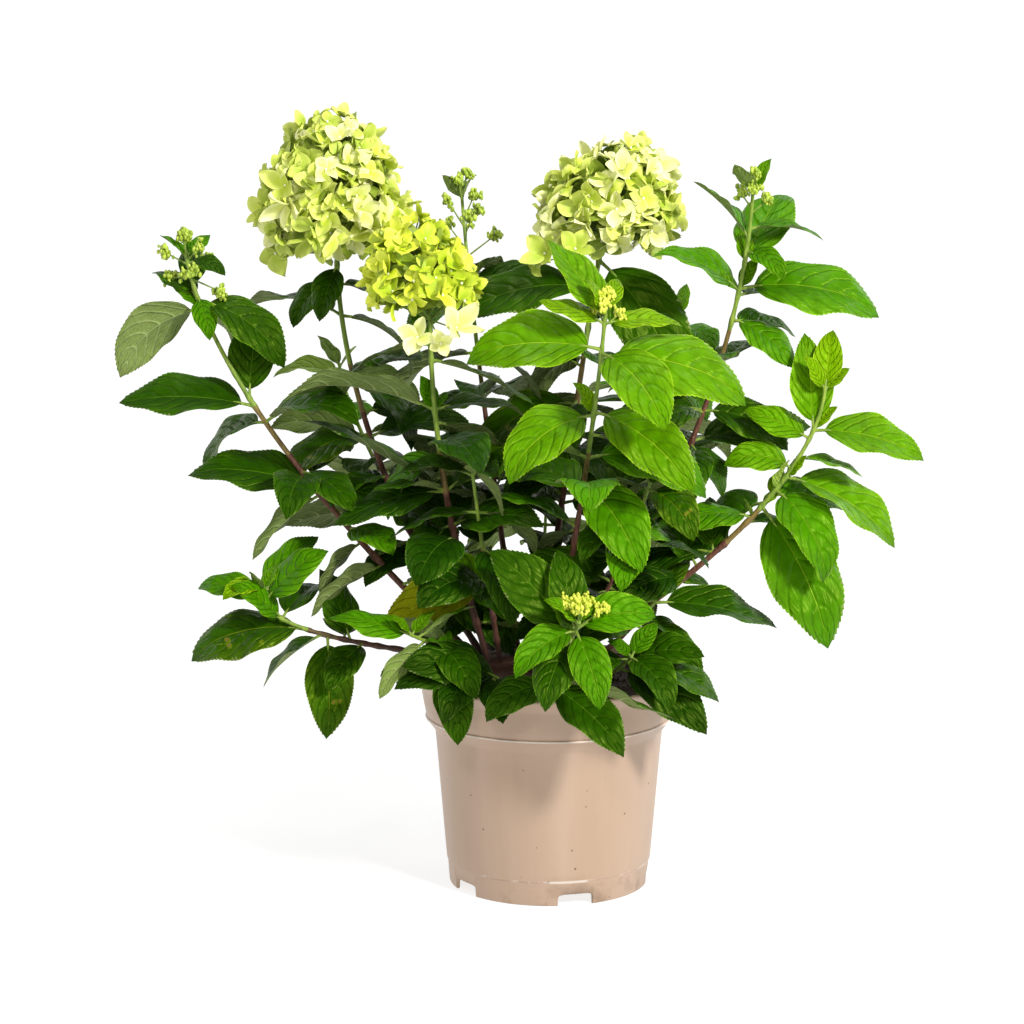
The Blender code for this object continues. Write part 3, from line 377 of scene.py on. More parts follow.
# Each shoot by the same rule as the part's source, in mm and degrees. green: share where the bark ends.
# tints: colours of the lower and upper leaves. fresh: share where the upper ones begin, if not 0.66.
# spread: lowest and highest rise of its buds' branchlets. The other names stand for what they do in the
# source. Most shoots stand in front and turn their leaves to the camera; light=-1 is one at the back. A
# shoot without pairs has only its own leaves, and one without buds has no spray.
SHOOTS = {
    "front_bright": dict(
        foot=(4, -16, 164), tip=(35, -100, 412), arch=1.25, leafy=0.34, girth=(3.0, 1.5), seed=3,
        pairs=(0.38, 0.58, 3, 20), lengths=(85, 88), buds=(0.94, 6, 13), green=0.60, tints=("mid", "bright"),
        own=((0.97, 165, 62, 60, 16, 0.9), (0.95, 185, 46, 30, 20, 0.4), (0.95, 5, 52, 12, 20, 0.6),
             (0.88, 178, 92, 14, 34, 1.0), (0.86, 355, 104, 6, 40, 0.9), (0.87, 308, 82, -8, 50, 0.9),
             (0.71, 325, 90, -8, 50, 0.8), (0.70, 212, 82, 0, 56, 0.9))),
    "upper_right": dict(
        foot=(26, 14, 162), tip=(136, -15, 484), arch=1.7, leafy=0.40, girth=(3.1, 1.5), seed=5,
        pairs=(0.43, 0.62, 3, 70), lengths=(84, 80), buds=(0.94, 6, 14), green=0.70, tints=("mature", "mid"),
        own=((0.89, 172, 54, 62, 34, 0.1), (0.91, 358, 52, 16, 46, 0.15), (0.84, 55, 80, 52, 30, 0.3),
             (0.86, 310, 40, 10, 70, 0.9), (0.78, 186, 68, 46, 40, 0.6), (0.785, 356, 100, 12, 42, 0.7),
             (0.77, 40, 66, 10, 30, 0.2), (0.72, 335, 56, -10, 50, 0.3), (0.715, 20, 60, 0, 40, 0.3),
             (0.46, 6, 84, 14, 8, 0.5))),
    "outer_right": dict(
        foot=(20, -3, 163), tip=(184, -40, 352), arch=1.7, leafy=0.42, girth=(3.2, 1.4), seed=7,
        green=0.55, tints=("mid", "bright"),
        own=((0.99, 60, 42, 75, 10, 0.8), (0.84, 122, 66, 76, 12, 0.9), (0.84, 352, 78, 4, 36, 0.6),
             (0.81, 172, 48, 32, 20, 0.9), (0.74, 350, 46, 0, 30, 0.2), (0.70, 186, 50, 40, 70, 0.9),
             (0.67, 350, 90, -10, 42, 0.3), (0.56, 328, 108, -46, 28, 1.0), (0.62, 306, 80, -16, 60, 1.0),
             (0.60, 20, 64, 5, 30, 0.6), (0.50, 10, 52, 10, 60, 0.2), (0.52, 200, 60, 20, 50, 0.4))),
    "low_right": dict(
        foot=(29, -20, 159), tip=(72, -36, 206), arch=1.2, leafy=0.40, girth=(2.3, 1.3), seed=8,
        green=0.70, tints=("mature", "mature"),
        own=((0.95, 352, 86, 4, 30, 0.5), (0.95, 165, 50, 30, 40, 0.3), (0.60, 324, 66, -12, 42, 0.6),
             (0.70, 60, 72, 20, 50, 0.4), (0.99, 40, 50, 40, 30, 0.5))),
    "rim_front": dict(
        foot=(-1, -60, 152), tip=(18, -136, 210), arch=1.0, leafy=0.34, girth=(2.0, 1.3), seed=9,
        buds=(0.90, 8, 21), green=0.34, fresh=0.86, tints=("mature", "mid"),
        own=((0.78, 161, 80, 56, 24, 1.2), (0.84, 118, 58, 74, 16, 0.6), (0.88, 218, 56, -2, 50, 0.9),
             (0.90, 8, 56, 34, 56, 1.0), (0.88, 296, 58, -36, 30, 1.0), (0.76, 244, 60, -22, 34, 0.8),
             (0.55, 30, 55, 40, 60, 0.5))),
    "rim_centre": dict(
        foot=(6, -64, 151), tip=(0, -98, 160), arch=1.0, leafy=0.40, girth=(1.9, 1.4), seed=10,
        green=0.40, tints=("deep", "mature"),
        own=((0.88, 346, 86, 0, 26, -0.7), (0.97, 334, 74, -24, 22, 0.9), (0.74, 204, 56, 12, 62, 0.8))),
    "outer_left": dict(
        foot=(-55, 0, 162), tip=(-245, -12, 440), arch=1.5, leafy=0.38, girth=(3.2, 1.5), seed=11,
        pairs=(0.44, 0.58, 2, 75), lengths=(82, 80), buds=(0.93, 8, 21), spread=(-30, 75), green=0.62,
        tints=("mature", "mature"),
        own=((0.97, 330, 32, 20, 70, 0.5), (0.91, 100, 42, 60, 40, 0.5), (0.885, 142, 46, 42, 40, 0.6),
             (0.86, 184, 77, -6, 62, -0.9), (0.88, 350, 78, -10, 46, 0.5), (0.865, 60, 62, -10, 50, 0.2),
             (0.62, 180, 93, 14, 22, 0.35), (0.64, 118, 64, 60, 20, 0.3), (0.42, 178, 88, 20, 22, 0.6),
             (0.41, 350, 76, 10, 50, 0.5), (0.40, 205, 66, -25, 30, -0.6))),
    "low_left": dict(
        foot=(-57, -7, 159), tip=(-195, -30, 212), arch=2.6, leafy=0.20, girth=(2.4, 1.2), seed=13,
        green=0.45, tints=("mature", "mid"),
        own=((0.44, 183, 88, 12, 46, 0.4), (0.85, 165, 52, 30, 40, 0.5), (0.92, 40, 60, 50, 20, 0.3),
             (0.36, 278, 72, -58, 26, 0.9), (0.38, 205, 56, -20, 30, 0.0), (0.60, 60, 62, 40, 50, 0.4),
             (0.24, 240, 50, -10, 44, 0.4), (0.97, 215, 34, 30, 60, 0.5), (0.30, 90, 66, 20, 50, 0.4))),
    "low_front_left": dict(
        foot=(-46, -26, 158), tip=(-93, -82, 191), arch=1.0, leafy=0.34, girth=(2.1, 1.2), seed=15,
        green=0.50, tints=("mature", "mid"),
        own=((0.97, 180, 58, 22, 16, 0.7), (0.80, 215, 52, -30, 20, -0.9), (0.90, 30, 48, 30, 10, -0.8),
             (0.60, 300, 55, 0, 60, 0.5), (0.55, 120, 60, 30, 50, 0.4))),
    "rim_left": dict(
        foot=(-18, -56, 152), tip=(-76, -71, 164), arch=1.0, leafy=0.20, girth=(1.9, 1.3), seed=17,
        green=0.40, tints=("deep", "mature"),
        own=((0.34, 197, 72, 26, 54, 0.5), (0.97, 305, 54, -38, 40, 0.9), (0.92, 190, 48, 5, 50, 0.6),
             (0.35, 280, 56, 10, 60, 0.8), (0.60, 250, 52, 5, 60, 0.6))),
    "rim_right": dict(
        foot=(36, -50, 152), tip=(54, -82, 176), arch=1.0, leafy=0.34, girth=(1.9, 1.3), seed=19,
        green=0.40, tints=("deep", "mature"),
        own=((0.55, 333, 76, -10, 46, 0.6), (0.80, 345, 70, 4, 50, 0.3), (0.95, 290, 56, -6, 60, 0.7),
             (0.90, 200, 54, 10, 50, 0.5), (0.70, 20, 60, 15, 50, 0.5))),
    "front_left": dict(
        foot=(-43, -14, 163), tip=(-80, -45, 397), arch=1.9, leafy=0.30, girth=(3.1, 1.9), seed=23,
        pairs=(0.36, 0.64, 3, 100), lengths=(86, 88), green=0.62, tints=("deep", "mature"),
        own=((0.93, 183, 62, 0, 40, -0.4), (0.885, 352, 76, -8, 30, -0.3), (0.74, 181, 106, 28, 40, -0.35),
             (0.74, 5, 70, 20, 50, 0.3), (0.50, 172, 108, 32, 8, -0.3), (0.50, 20, 72, 30, 50, 0.4),
             (0.40, 15, 46, 30, 10, -0.4), (0.36, 250, 80, 10, 50, 0.6))),
    "tall_left": dict(
        foot=(-50, 13, 163), tip=(-146, 30, 436), arch=1.9, leafy=0.30, girth=(3.2, 2.0), seed=21,
        pairs=(0.38, 0.84, 4, 280), lengths=(88, 84), green=0.72, tints=("deep", "mature"),
        own=((0.93, 200, 48, -10, 70, 0.2), (0.97, 235, 48, -48, 20, 0.8), (0.92, 20, 50, 0, 50, 0.3),
             (0.34, 185, 82, 10, 30, -0.6), (0.36, 20, 80, 10, 30, 0.4))),
    "tall_centre": dict(
        foot=(-5, 14, 164), tip=(36, 40, 438), arch=0.95, leafy=0.34, girth=(3.2, 2.0), seed=25,
        pairs=(0.38, 0.84, 5, 20), lengths=(90, 84), green=0.74, tints=("deep", "mature"),
        own=((0.97, 328, 112, -34, 44, 1.1), (0.90, 182, 98, 12, 50, 0.4), (0.80, 90, 80, 30, 50, 0.3))),
    "back_centre": dict(
        foot=(-22, 27, 162), tip=(-61, 90, 474), arch=1.2, leafy=0.30, girth=(3.0, 1.4), light=-1, seed=27,
        pairs=(0.34, 0.74, 5, 60), lengths=(90, 80), buds=(0.85, 9, 26), green=0.66, tints=("deep", "mature"),
        own=((0.83, 55, 44, 20, 50, 0.4), (0.80, 5, 66, 22, 50, -0.2))),
    "back_left": dict(
        foot=(-41, 29, 160), tip=(-150, 115, 350), arch=1.4, leafy=0.36, girth=(2.8, 1.4), light=-1, seed=29,
        pairs=(0.40, 0.95, 6, 100), lengths=(90, 60), green=0.66, tints=("mature", "mid"), own=()),
    "back_right": dict(
        foot=(14, 28, 161), tip=(95, 125, 385), arch=1.4, leafy=0.36, girth=(2.9, 1.4), light=-1, seed=31,
        pairs=(0.40, 0.95, 6, 40), lengths=(92, 60), green=0.66, tints=("mature", "mid"), own=()),
    "inner_left": dict(
        foot=(-34, -17, 161), tip=(-52, -62, 300), arch=1.1, leafy=0.34, girth=(2.5, 1.4), seed=35,
        pairs=(0.40, 0.96, 4, 30), lengths=(78, 58), green=0.60, tints=("deep", "mature"), own=()),
    "inner_right": dict(
        foot=(17, -27, 160), tip=(66, -72, 292), arch=1.1, leafy=0.34, girth=(2.5, 1.4), seed=37,
        pairs=(0.40, 0.96, 4, 60), lengths=(78, 58), green=0.60, tints=("deep", "mature"), own=()),
    "back_low": dict(
        foot=(-6, 37, 159), tip=(0, 150, 250), arch=1.1, leafy=0.36, girth=(2.4, 1.3), light=-1, seed=33,
        pairs=(0.42, 0.95, 4, 0), lengths=(84, 60), green=0.60, tints=("mature", "mid"), own=()),
}
ON_COMPOST = ("rim_front", "rim_centre", "rim_left", "rim_right")
# Woody crown: middle, half axes and height of its foot in mm
CROWN_CENTRE, CROWN_HALF, CROWN_FOOT = (-15, 2), (46, 38, 12), 149.0
# Olive length of the bark and overlap where one skin ends and the next begins, as shares of the stem
OLIVE_SHARE, OVERLAP_SHARE = 0.12, 0.004
# Girth against the source's, and length in mm of the swelling at a leaf pair
SLIM, SWELLING_LENGTH = 0.78, 2.6


def stem_at(shoot, share):
    """Places of a stem at shares of its height: it leans out by 1-(1-share)^arch of the way to its tip."""
    share = np.asarray(share, float)
    out = 1 - (1 - np.clip(share, 0, 1)) ** shoot["arch"]
    out = np.where(share < 0, share * shoot["arch"], out)
    foot, tip = (np.array(shoot[end]) * MM for end in ("foot", "tip"))
    return foot + (tip - foot) * np.stack([out, out, share], -1)


def stem_climb(shoot):
    """Straight distance from the stem's foot to its tip."""
    return np.linalg.norm(stem_at(shoot, 1.0) - stem_at(shoot, 0.0))


def tube_rings(path, radii, sides):
    """Circles of the given radii round a path, square to it. Each starts at the cross of the heading with
    one fixed direction that the path never takes."""
    heading = np.gradient(path, axis=0)
    heading /= np.linalg.norm(heading, axis=1, keepdims=True)
    fixed = np.eye(3)[np.argmin(np.abs(heading).max(0))]
    side = np.cross(heading, fixed)
    side /= np.linalg.norm(side, axis=1, keepdims=True)
    over = np.cross(side, heading)
    turn = once_round(sides)[None, :, None]
    radii = np.broadcast_to(np.asarray(radii, float).reshape(len(path), -1), (len(path), sides))[..., None]
    return path[:, None] + radii * (np.cos(turn) * side[:, None] + np.sin(turn) * over[:, None])


def limb(shoot, first, last, rough):
    """The stem between two shares: a straight taper, a bell-shaped swelling at each leaf pair, and waves of
    bark relief."""
    rows = max(6, int(np.linalg.norm(stem_at(shoot, last) - stem_at(shoot, first)) / (2.2 * MM)))
    shares = np.linspace(first, last, rows)
    path = stem_at(shoot, shares)
    thick, thin = shoot["girth"]
    taper = (thick + (thin - thick) * np.clip(shares, 0, 1)) * MM
    knots = np.concatenate([[row[0] for row in shoot["own"]], np.linspace(0.1, shoot["leafy"], 3)])
    apart = (shares[:, None] - knots) * stem_climb(shoot) / (SWELLING_LENGTH * MM)
    rings = tube_rings(path, SLIM * taper * (1 + 0.35 * np.exp(-apart ** 2).max(1)), 12)
    relief = 1 + rough * waves(rings / MM * (1, 1, 0.35), 4.0, shoot["seed"], 3)
    return closed_body(path[:, None] + (rings - path[:, None]) * relief[..., None])


def crown_mound(share, turn):
    """Low dome: an ellipse in plan, its height the root of 1 - share^2, made knobbly by waves."""
    ways = np.cos(turn), np.sin(turn)
    knobbly = 1 + 0.10 * waves(np.stack([share * ways[0], share * ways[1], 0 * share], -1) * 30, 16.0, 9)
    flat = [CROWN_CENTRE[k] + CROWN_HALF[k] * share * knobbly * ways[k] for k in range(2)]
    high = CROWN_FOOT + CROWN_HALF[2] * np.sqrt(np.clip(1 - share ** 2, 0, 1)) * knobbly
    return np.stack([*flat, high], -1) * MM


mound_grid = np.meshgrid(np.linspace(0.02, 1, 26), once_round(60), indexing="ij")
bark_chunks = [closed_body(crown_mound(*mound_grid))]
olive_chunks = []
for shoot_name, shoot in SHOOTS.items():
    # Canes that stand on the compost go into it less deeply than the crown's own
    depth = (4 if shoot_name in ON_COMPOST else 16) * MM
    olive_from = shoot["green"] - OLIVE_SHARE
    bark_chunks.append(limb(shoot, -depth / stem_climb(shoot), olive_from, 0.06))
    olive_chunks.append(limb(shoot, olive_from - OVERLAP_SHARE, shoot["green"], 0.05))


def bark_finish(name, dark, pale, roughness):
    """Young bark: noise of 2.6 mm drawn out upwards between two browns, pale pores, and darker towards its
    foot."""
    finish, node, shader = new_finish(name, Roughness=roughness)
    place = node("TexCoord", out="Object")
    drawn = node("Mapping", place, Scale=(1.0, 1.0, 0.22))
    streaks = node("TexNoise", Vector=drawn, Scale=1 / (2.63 * MM), Detail=5.0, Roughness=0.65)
    pores = node("TexVoronoi", Vector=place, Scale=1 / (3.85 * MM))
    height = node("SeparateXYZ", place, out="Z")
    colour = coated(node, dark, (pale, node("MapRange", streaks, 0.35, 0.68)),
                    ("#B08A68", node("MapRange", pores, 0.10, 0.2, 0.5, 0.0)),
                    ("#2A1A14", node("MapRange", height, 160 * MM, 230 * MM, 0.75, 0.0)))
    bump = node("Bump", Strength=0.5, Distance=0.6 * MM, Height=streaks)
    fill(shader, {"Base Color": colour, "Normal": bump})
    return finish


# Red-brown bark gives the dark warm lines between the leaves; the olive one is this year's ripening wood
red_brown = bark_finish("red_brown_bark", "#4A271C", "#80503A", 0.6)
olive = bark_finish("ripening_bark", "#6A5226", "#8C7A38", 0.55)
brown_canes = make_piece("brown_canes", bark_chunks, red_brown)
olive_canes = make_piece("ripening_canes", olive_chunks, olive)
for piece in (brown_canes, olive_canes):
    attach(piece, "root")
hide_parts("root_crown", *["cane_" + name for name in SHOOTS])


# Leaves: ovate blades in opposite pairs, gutter-shaped, quilted between sunk arching veins, with fine
# forward teeth and a paler edge. Each is a closed shell of its own on a short petiole.

MOST_TRIANGLES = 190000
# Share of a leaf that is petiole, and the radii in mm along it on a leaf of 80 mm
PETIOLE = 0.10
PETIOLE_RADII = (1.5, 1.25, 1.1, 1.05, 1.0, 0.8, 0.5)
# Half width as a share of the leaf's length, and the powers by which the outline widens and narrows
HALF_WIDTH, WIDEN, NARROW = 0.212, 0.62, 0.95
# Steps in degrees, number of tries and nearness in mm by which a leaf finds its own in the source
TURN_STEP, RISE_STEP, TRIES, MATCH = 13, 7, 7, 0.3
TEETH = 24
# Number of side veins on each side, and how far along the blade they arch on by its edge
VEIN_PAIRS, VEIN_ARCH = 6.0, 0.36
# Shares of the blade's length: how far a tooth stands out and forward, depth of the quilting, height of the
# edge's waves and thickness of the midrib
TOOTH_OUT, TOOTH_FORWARD, QUILTING, EDGE_WAVE, RIB = 0.0055, 0.009, 0.023, 0.026, 0.011
# Rise of the gutter as a share of the half width, thickness in mm, and width shares of the columns
FOLD = 0.30
BLADE_THICKNESS = 0.4
LEAF_COLUMNS = np.array((1, 0.87, 0.5, 0.1, 0, -0.1, -0.5, -0.87, -1))
# Empty margin of each half of the map
MAP_EDGE = 0.02
# Tint of each group of leaves: upper face, underside and veins
TINTS = {"young": ("#78AC00", "#93B23C", "#B6D430"),
         "bright": ("#589200", "#7C9642", "#9CC622"),
         "mid": ("#468600", "#70873C", "#84B220"),
         "mature": ("#255000", "#687A3E", "#608E1C"),
         "deep": ("#1A4202", "#5E703C", "#4C7C18"),
         "yellowed": ("#98A008", "#A5A540", "#C3C838"),
         "browned": ("#2C5800", "#687A3E", "#7C9020")}
# Share of the older leaves that have brown marks
BROWNED_SHARE = 0.08
# Share of the stem where the upper tint begins, and share and length under which a leaf is a young one
FRESH_SHARE, YOUNG_SHARE, YOUNG_LENGTH = 0.66, 0.93, 0.056
# Where a leaf's middle is, as a share of its length
MIDDLE = 0.55
# Leaves of the finer growth that shows between the large ones: shoot, tint and a row as the shoots' own
FINER_LEAVES = (("low_left", "mid", (0.83, 348, 58, 54, 20, 0.6)),
                ("low_left", "mid", (0.60, 215, 46, 50, 30, 0.7)),
                ("low_left", "mature", (0.28, 143, 56, 70, 20, 0.5)),
                ("outer_left", "mature", (0.28, 213, 49, -27, 30, -0.9)),
                ("outer_left", "mature", (0.22, 211, 65, -10, 30, -0.8)),
                ("outer_left", "mid", (0.89, 301, 34, -39, 30, 0.8)),
                ("inner_left", "yellowed", (0.37, 180, 78, 0, 40, 0.8)),
                ("inner_left", "bright", (0.35, 193, 53, 44, 20, 0.8)),
                ("low_front_left", "mature", (0.50, 196, 45, 53, 40, -0.6)),
                ("rim_left", "deep", (0.25, 203, 74, 34, 40, 0.8)),
                ("low_front_left", "mid", (0.48, 240, 32, 34, 20, 0.8)),
                ("inner_right", "mature", (0.46, 188, 66, 30, 40, 0.8)),
                ("inner_right", "mid", (0.71, 262, 60, -3, 50, 1.0)),
                ("front_bright", "mid", (0.51, 313, 78, -24, 40, 1.0)),
                ("outer_right", "mature", (0.33, 161, 55, 60, 30, 0.6)),
                ("outer_right", "mature", (0.38, 92, 44, 70, 20, 0.5)),
                ("upper_right", "mature", (0.41, 214, 56, -33, 40, -0.8)),
                ("low_right", "mature", (0.73, 344, 46, -16, 40, 0.3)))
# Shoots that end in a large head, and so carry no small leaves at the tip
HEADED = ("front_left", "tall_left", "tall_centre")
# Heart of the crown: middle and half axes in mm of the egg that the inner leaves stay in, their step up the
# stem and how far apart their middles stay
HEART_CENTRE, HEART_HALF = (-15, -4, 272), (150, 98, 125)
INNER_STEP, APART = 24, 15
# Share of the inner leaves that have yellowed, and that are curled, with the most that they turn
YELLOWED_SHARE, CURLED_SHARE, CURL = 0.04, 0.3, 0.9


def make_pieces(name, chunks, finish):
    """The chunks as one object, or as numbered ones where there would be too many triangles."""
    triangles = sum(len(faces) * (faces.shape[1] - 2) for _, groups in chunks for faces, _ in groups)
    shares = math.ceil(triangles / MOST_TRIANGLES)
    if shares == 1:
        return [make_piece(name, chunks, finish)]
    return [make_piece(f"{name}_{k + 1}", chunks[k::shares], finish) for k in range(shares)]


def leaf_from(shoot, share, turn, length, rise, droop, tilt):
    """A leaf of the shoot: sizes in mm and degrees turned into metres and radians, with its base on the
    stem."""
    return dict(base=stem_at(shoot, share), share=share, turn=math.radians(turn), length=length * MM,
                rise=math.radians(rise), droop=math.radians(droop), tilt=tilt, light=shoot.get("light", 1))


def leaf_wishes(shoot):
    """Every leaf that the shoot would carry, its own ones first and then seeded pairs at right angles."""
    draw = random.Random(shoot["seed"])
    rows = list(shoot["own"])
    first, last, number, turn = shoot.get("pairs", (0, 0, 0, 0))
    low, high = shoot.get("lengths", (0, 0))
    for k in range(number):
        along = k / max(1, number - 1)
        for side in (0, 180):
            rows.append((first + (last - first) * along, turn + 90 * k + side + draw.uniform(-22, 22),
                         (low + (high - low) * along) * draw.uniform(0.82, 1.06),
                         draw.uniform(-5, 38), draw.uniform(35, 75), draw.uniform(-0.2, 0.8)))
    return [leaf_from(shoot, *row) for row in rows]


def tries_of(leaf):
    """The leaf as wished, and then turned and raised by growing steps to either side."""
    for k in range(TRIES):
        way = (-1) ** k * ((k + 1) // 2)
        yield dict(leaf, turn=leaf["turn"] + math.radians(way * TURN_STEP),
                   rise=leaf["rise"] + math.radians(abs(way) * RISE_STEP))


def midrib(leaf, along):
    """Arc in the leaf's upright plane: it sets out at its rise and bends down by its droop over its
    length."""
    flat = np.array([math.cos(leaf["turn"]), math.sin(leaf["turn"]), 0.0])
    up = np.array([0.0, 0.0, 1.0])
    angle = leaf["rise"] - leaf["droop"] * along
    run = leaf["length"] * (math.sin(leaf["rise"]) - np.sin(angle)) / leaf["droop"]
    climb = leaf["length"] * (np.cos(angle) - math.cos(leaf["rise"])) / leaf["droop"]
    place = leaf["base"] + run[..., None] * flat + climb[..., None] * up
    return place, np.cos(angle)[..., None] * flat + np.sin(angle)[..., None] * up


def blade_frame(leaf, heading):
    """Across and upper normal at each midrib place: straight up, leaned by the tilt towards the light."""
    want = np.array([0.0, -leaf["tilt"] * leaf["light"], 1.0])
    normal = want - (heading @ want)[..., None] * heading
    normal /= np.linalg.norm(normal, axis=-1, keepdims=True)
    return np.cross(normal, heading), normal


def humped(share, rise, fall):
    """share^rise (1-share)^fall, scaled to reach 1 where it is highest."""
    peak_at = rise / (rise + fall)
    return share ** rise * (1 - share) ** fall / (peak_at ** rise * (1 - peak_at) ** fall)


def vein_wave(t, s):
    """0 on a side vein and 1 midway between two; veins leave the midrib evenly and arch on by 0.36
    |s|^1.5."""
    return 0.5 - 0.5 * np.cos(2 * math.pi * VEIN_PAIRS * (t - VEIN_ARCH * np.abs(s) ** 1.5))


def leaf_rows():
    """Blade shares of the rows and how far each is a tooth's point: two rows a tooth, its point drawn
    forwards."""
    starts = np.linspace(0.08, 0.95, TEETH + 1)
    pitch = starts[1] - starts[0]
    t = np.stack([starts[:-1], starts[:-1] + 0.7 * pitch], 1).ravel()
    t = np.concatenate([[0.0, 0.035], t, [0.95, 0.98, 1.0]])
    tooth = np.concatenate([[0, 0], np.tile([0.0, 1.0], TEETH), [0, 0, 0]])
    return t, tooth


def leaf_blade(leaf, draw, curl=0.0):
    """Surface over blade share t and width share s. Across it runs s times the ovate half width, with the
    teeth added at the edge. It is lifted by the fold |s|^1.15, the quilting between veins, less s^4 at the
    margin, by waves of the edge and less a dip at the end, and it is twisted and curled about the midrib.
    The underside lies one thickness below, with the midrib standing out of it."""
    t, tooth = leaf_rows()
    length = leaf["length"]
    place, heading = midrib(leaf, PETIOLE + (1 - PETIOLE) * t)
    flat, upper = blade_frame(leaf, heading)
    twist = (draw.uniform(-0.5, 0.5) + curl) * t[:, None]
    across = flat * np.cos(twist) + upper * np.sin(twist)
    normal = upper * np.cos(twist) - flat * np.sin(twist)
    ovate = HALF_WIDTH * length * humped(t, WIDEN, NARROW) * draw.uniform(1.02, 1.20)
    half = np.maximum(ovate, (1.3 - 1.1 * t) * MM)
    s = LEAF_COLUMNS[None, :]
    t, tooth, half = t[:, None], tooth[:, None], half[:, None]
    far = np.abs(s)
    belly = np.sin(math.pi * t)
    edge = (far == 1) * tooth
    reach = s * half + np.sign(s) * edge * TOOTH_OUT * length
    sway = draw.uniform(-0.06, 0.06) * length * t ** 2
    fold = FOLD * draw.uniform(0.5, 1.5) * (1 - 0.4 * t) * half * far ** 1.15
    quilting = QUILTING * length * vein_wave(t, s) * (far * (1.05 - far)) ** 0.6 * belly ** 0.5
    phases = draw.uniform(0, 6.28), draw.uniform(0, 6.28)
    margin = draw.uniform(0.0, 0.28) * half * s ** 4
    waved = EDGE_WAVE * length * np.sin(13 * t + np.where(s > 0, *phases)) * far ** 2.5 * belly
    dip = draw.uniform(-0.02, 0.11) * length * np.clip(t - 0.7, 0, 1) ** 1.5 * 6
    lift = fold + quilting - margin + waved - dip
    top = place[:, None] + across[:, None] * (reach + sway)[..., None] + normal[:, None] * lift[..., None]
    top = top + heading[:, None] * (edge * TOOTH_FORWARD * length)[..., None]
    rib = (s == 0) * (RIB * length * (1.05 - t) ** 0.8)
    under = top - normal[:, None] * (BLADE_THICKNESS * MM * (1 - t ** 8) + rib)[..., None]
    return np.concatenate([top, under[:, -2:0:-1]], 1)


def strip_places(along, across):
    """Map places of the strips of a closed leaf or sepal: its face fills the left half of the map and its
    back the right half, with the share along it upwards in both."""
    ring = np.concatenate([across, across[-2:0:-1]])
    below = np.arange(len(ring)) >= len(across) - 1
    left, right = (MAP_EDGE + (0.5 - 2 * MAP_EDGE) * (side + 1) / 2 + 0.5 * below
                   for side in (ring, np.roll(ring, -1)))
    high = np.broadcast_to(MAP_EDGE + (1 - 2 * MAP_EDGE) * along[:, None], (len(along), len(ring)))
    return tuple(np.stack([np.broadcast_to(side, high.shape), high], -1) for side in (left, right))


def petiole(leaf):
    """A tube from inside the stem to the first tenth of the blade, thick where it leaves the stem."""
    place, _ = midrib(leaf, np.linspace(0.0, 0.16, len(PETIOLE_RADII)))
    radii = np.array(PETIOLE_RADII) * MM * (0.75 + 0.25 * leaf["length"] / (80 * MM))
    return closed_body(tube_rings(place, radii, 8))


leaf_chunks = {name: [] for name in TINTS}
petiole_chunks = []
leaf_map = strip_places(leaf_rows()[0], LEAF_COLUMNS)
middles = []


def grow(leaf, tint, draw, curl=0.0):
    """Adds the leaf's blade to those of its tint, and its petiole."""
    leaf_chunks[tint].append(closed_body(leaf_blade(leaf, draw, curl), leaf_map))
    petiole_chunks.append(petiole(leaf))


wear = random.Random(7)
for shoot_name, shoot in SHOOTS.items():
    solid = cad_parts["leaves_" + shoot_name]
    corners = np.array([tuple(vertex.co) for vertex in solid.data.vertices])
    draw = random.Random(shoot["seed"] + 100)
    for wish in leaf_wishes(shoot):
        # The source left a leaf out where no try was free, so a leaf grows where the solids have its tip
        fits = [leaf for leaf in tries_of(wish)
                if np.linalg.norm(corners - midrib(leaf, np.array(1.0))[0], axis=1).min() < MATCH * MM]
        if not fits:
            continue
        leaf = fits[0]
        tint = shoot["tints"][leaf["share"] > shoot.get("fresh", FRESH_SHARE)]
        if leaf["share"] > YOUNG_SHARE and leaf["length"] < YOUNG_LENGTH and tint in ("bright", "mid"):
            tint = "young"
        if tint in ("mature", "deep") and wear.random() < BROWNED_SHARE:
            tint = "browned"
        grow(leaf, tint, draw)
        middles.append(midrib(leaf, np.array(MIDDLE))[0])
for shoot_name, tint, row in FINER_LEAVES:
    leaf = leaf_from(SHOOTS[shoot_name], *row)
    grow(leaf, tint, random.Random(row[1]))
    middles.append(midrib(leaf, np.array(MIDDLE))[0])


def axil_leaves(shoot, headed, draw):
    """Small steep leaves of the side buds: in the axils of the shoot's large upper leaves, and a pair at a
    tip that has no head."""
    for share, turn, length, _, _, _ in shoot["own"]:
        if share > 0.5 and length > 58 and draw.random() < 0.6:
            yield leaf_from(shoot, share, turn + draw.uniform(-35, 35), draw.uniform(16, 30),
                            draw.uniform(48, 74), draw.uniform(10, 34), draw.uniform(0.2, 0.9))
    for side in () if headed else (0, 180):
        yield leaf_from(shoot, 0.985, 40 + side + draw.uniform(-30, 30), draw.uniform(20, 32),
                        draw.uniform(45, 70), draw.uniform(10, 30), draw.uniform(0.2, 0.9))


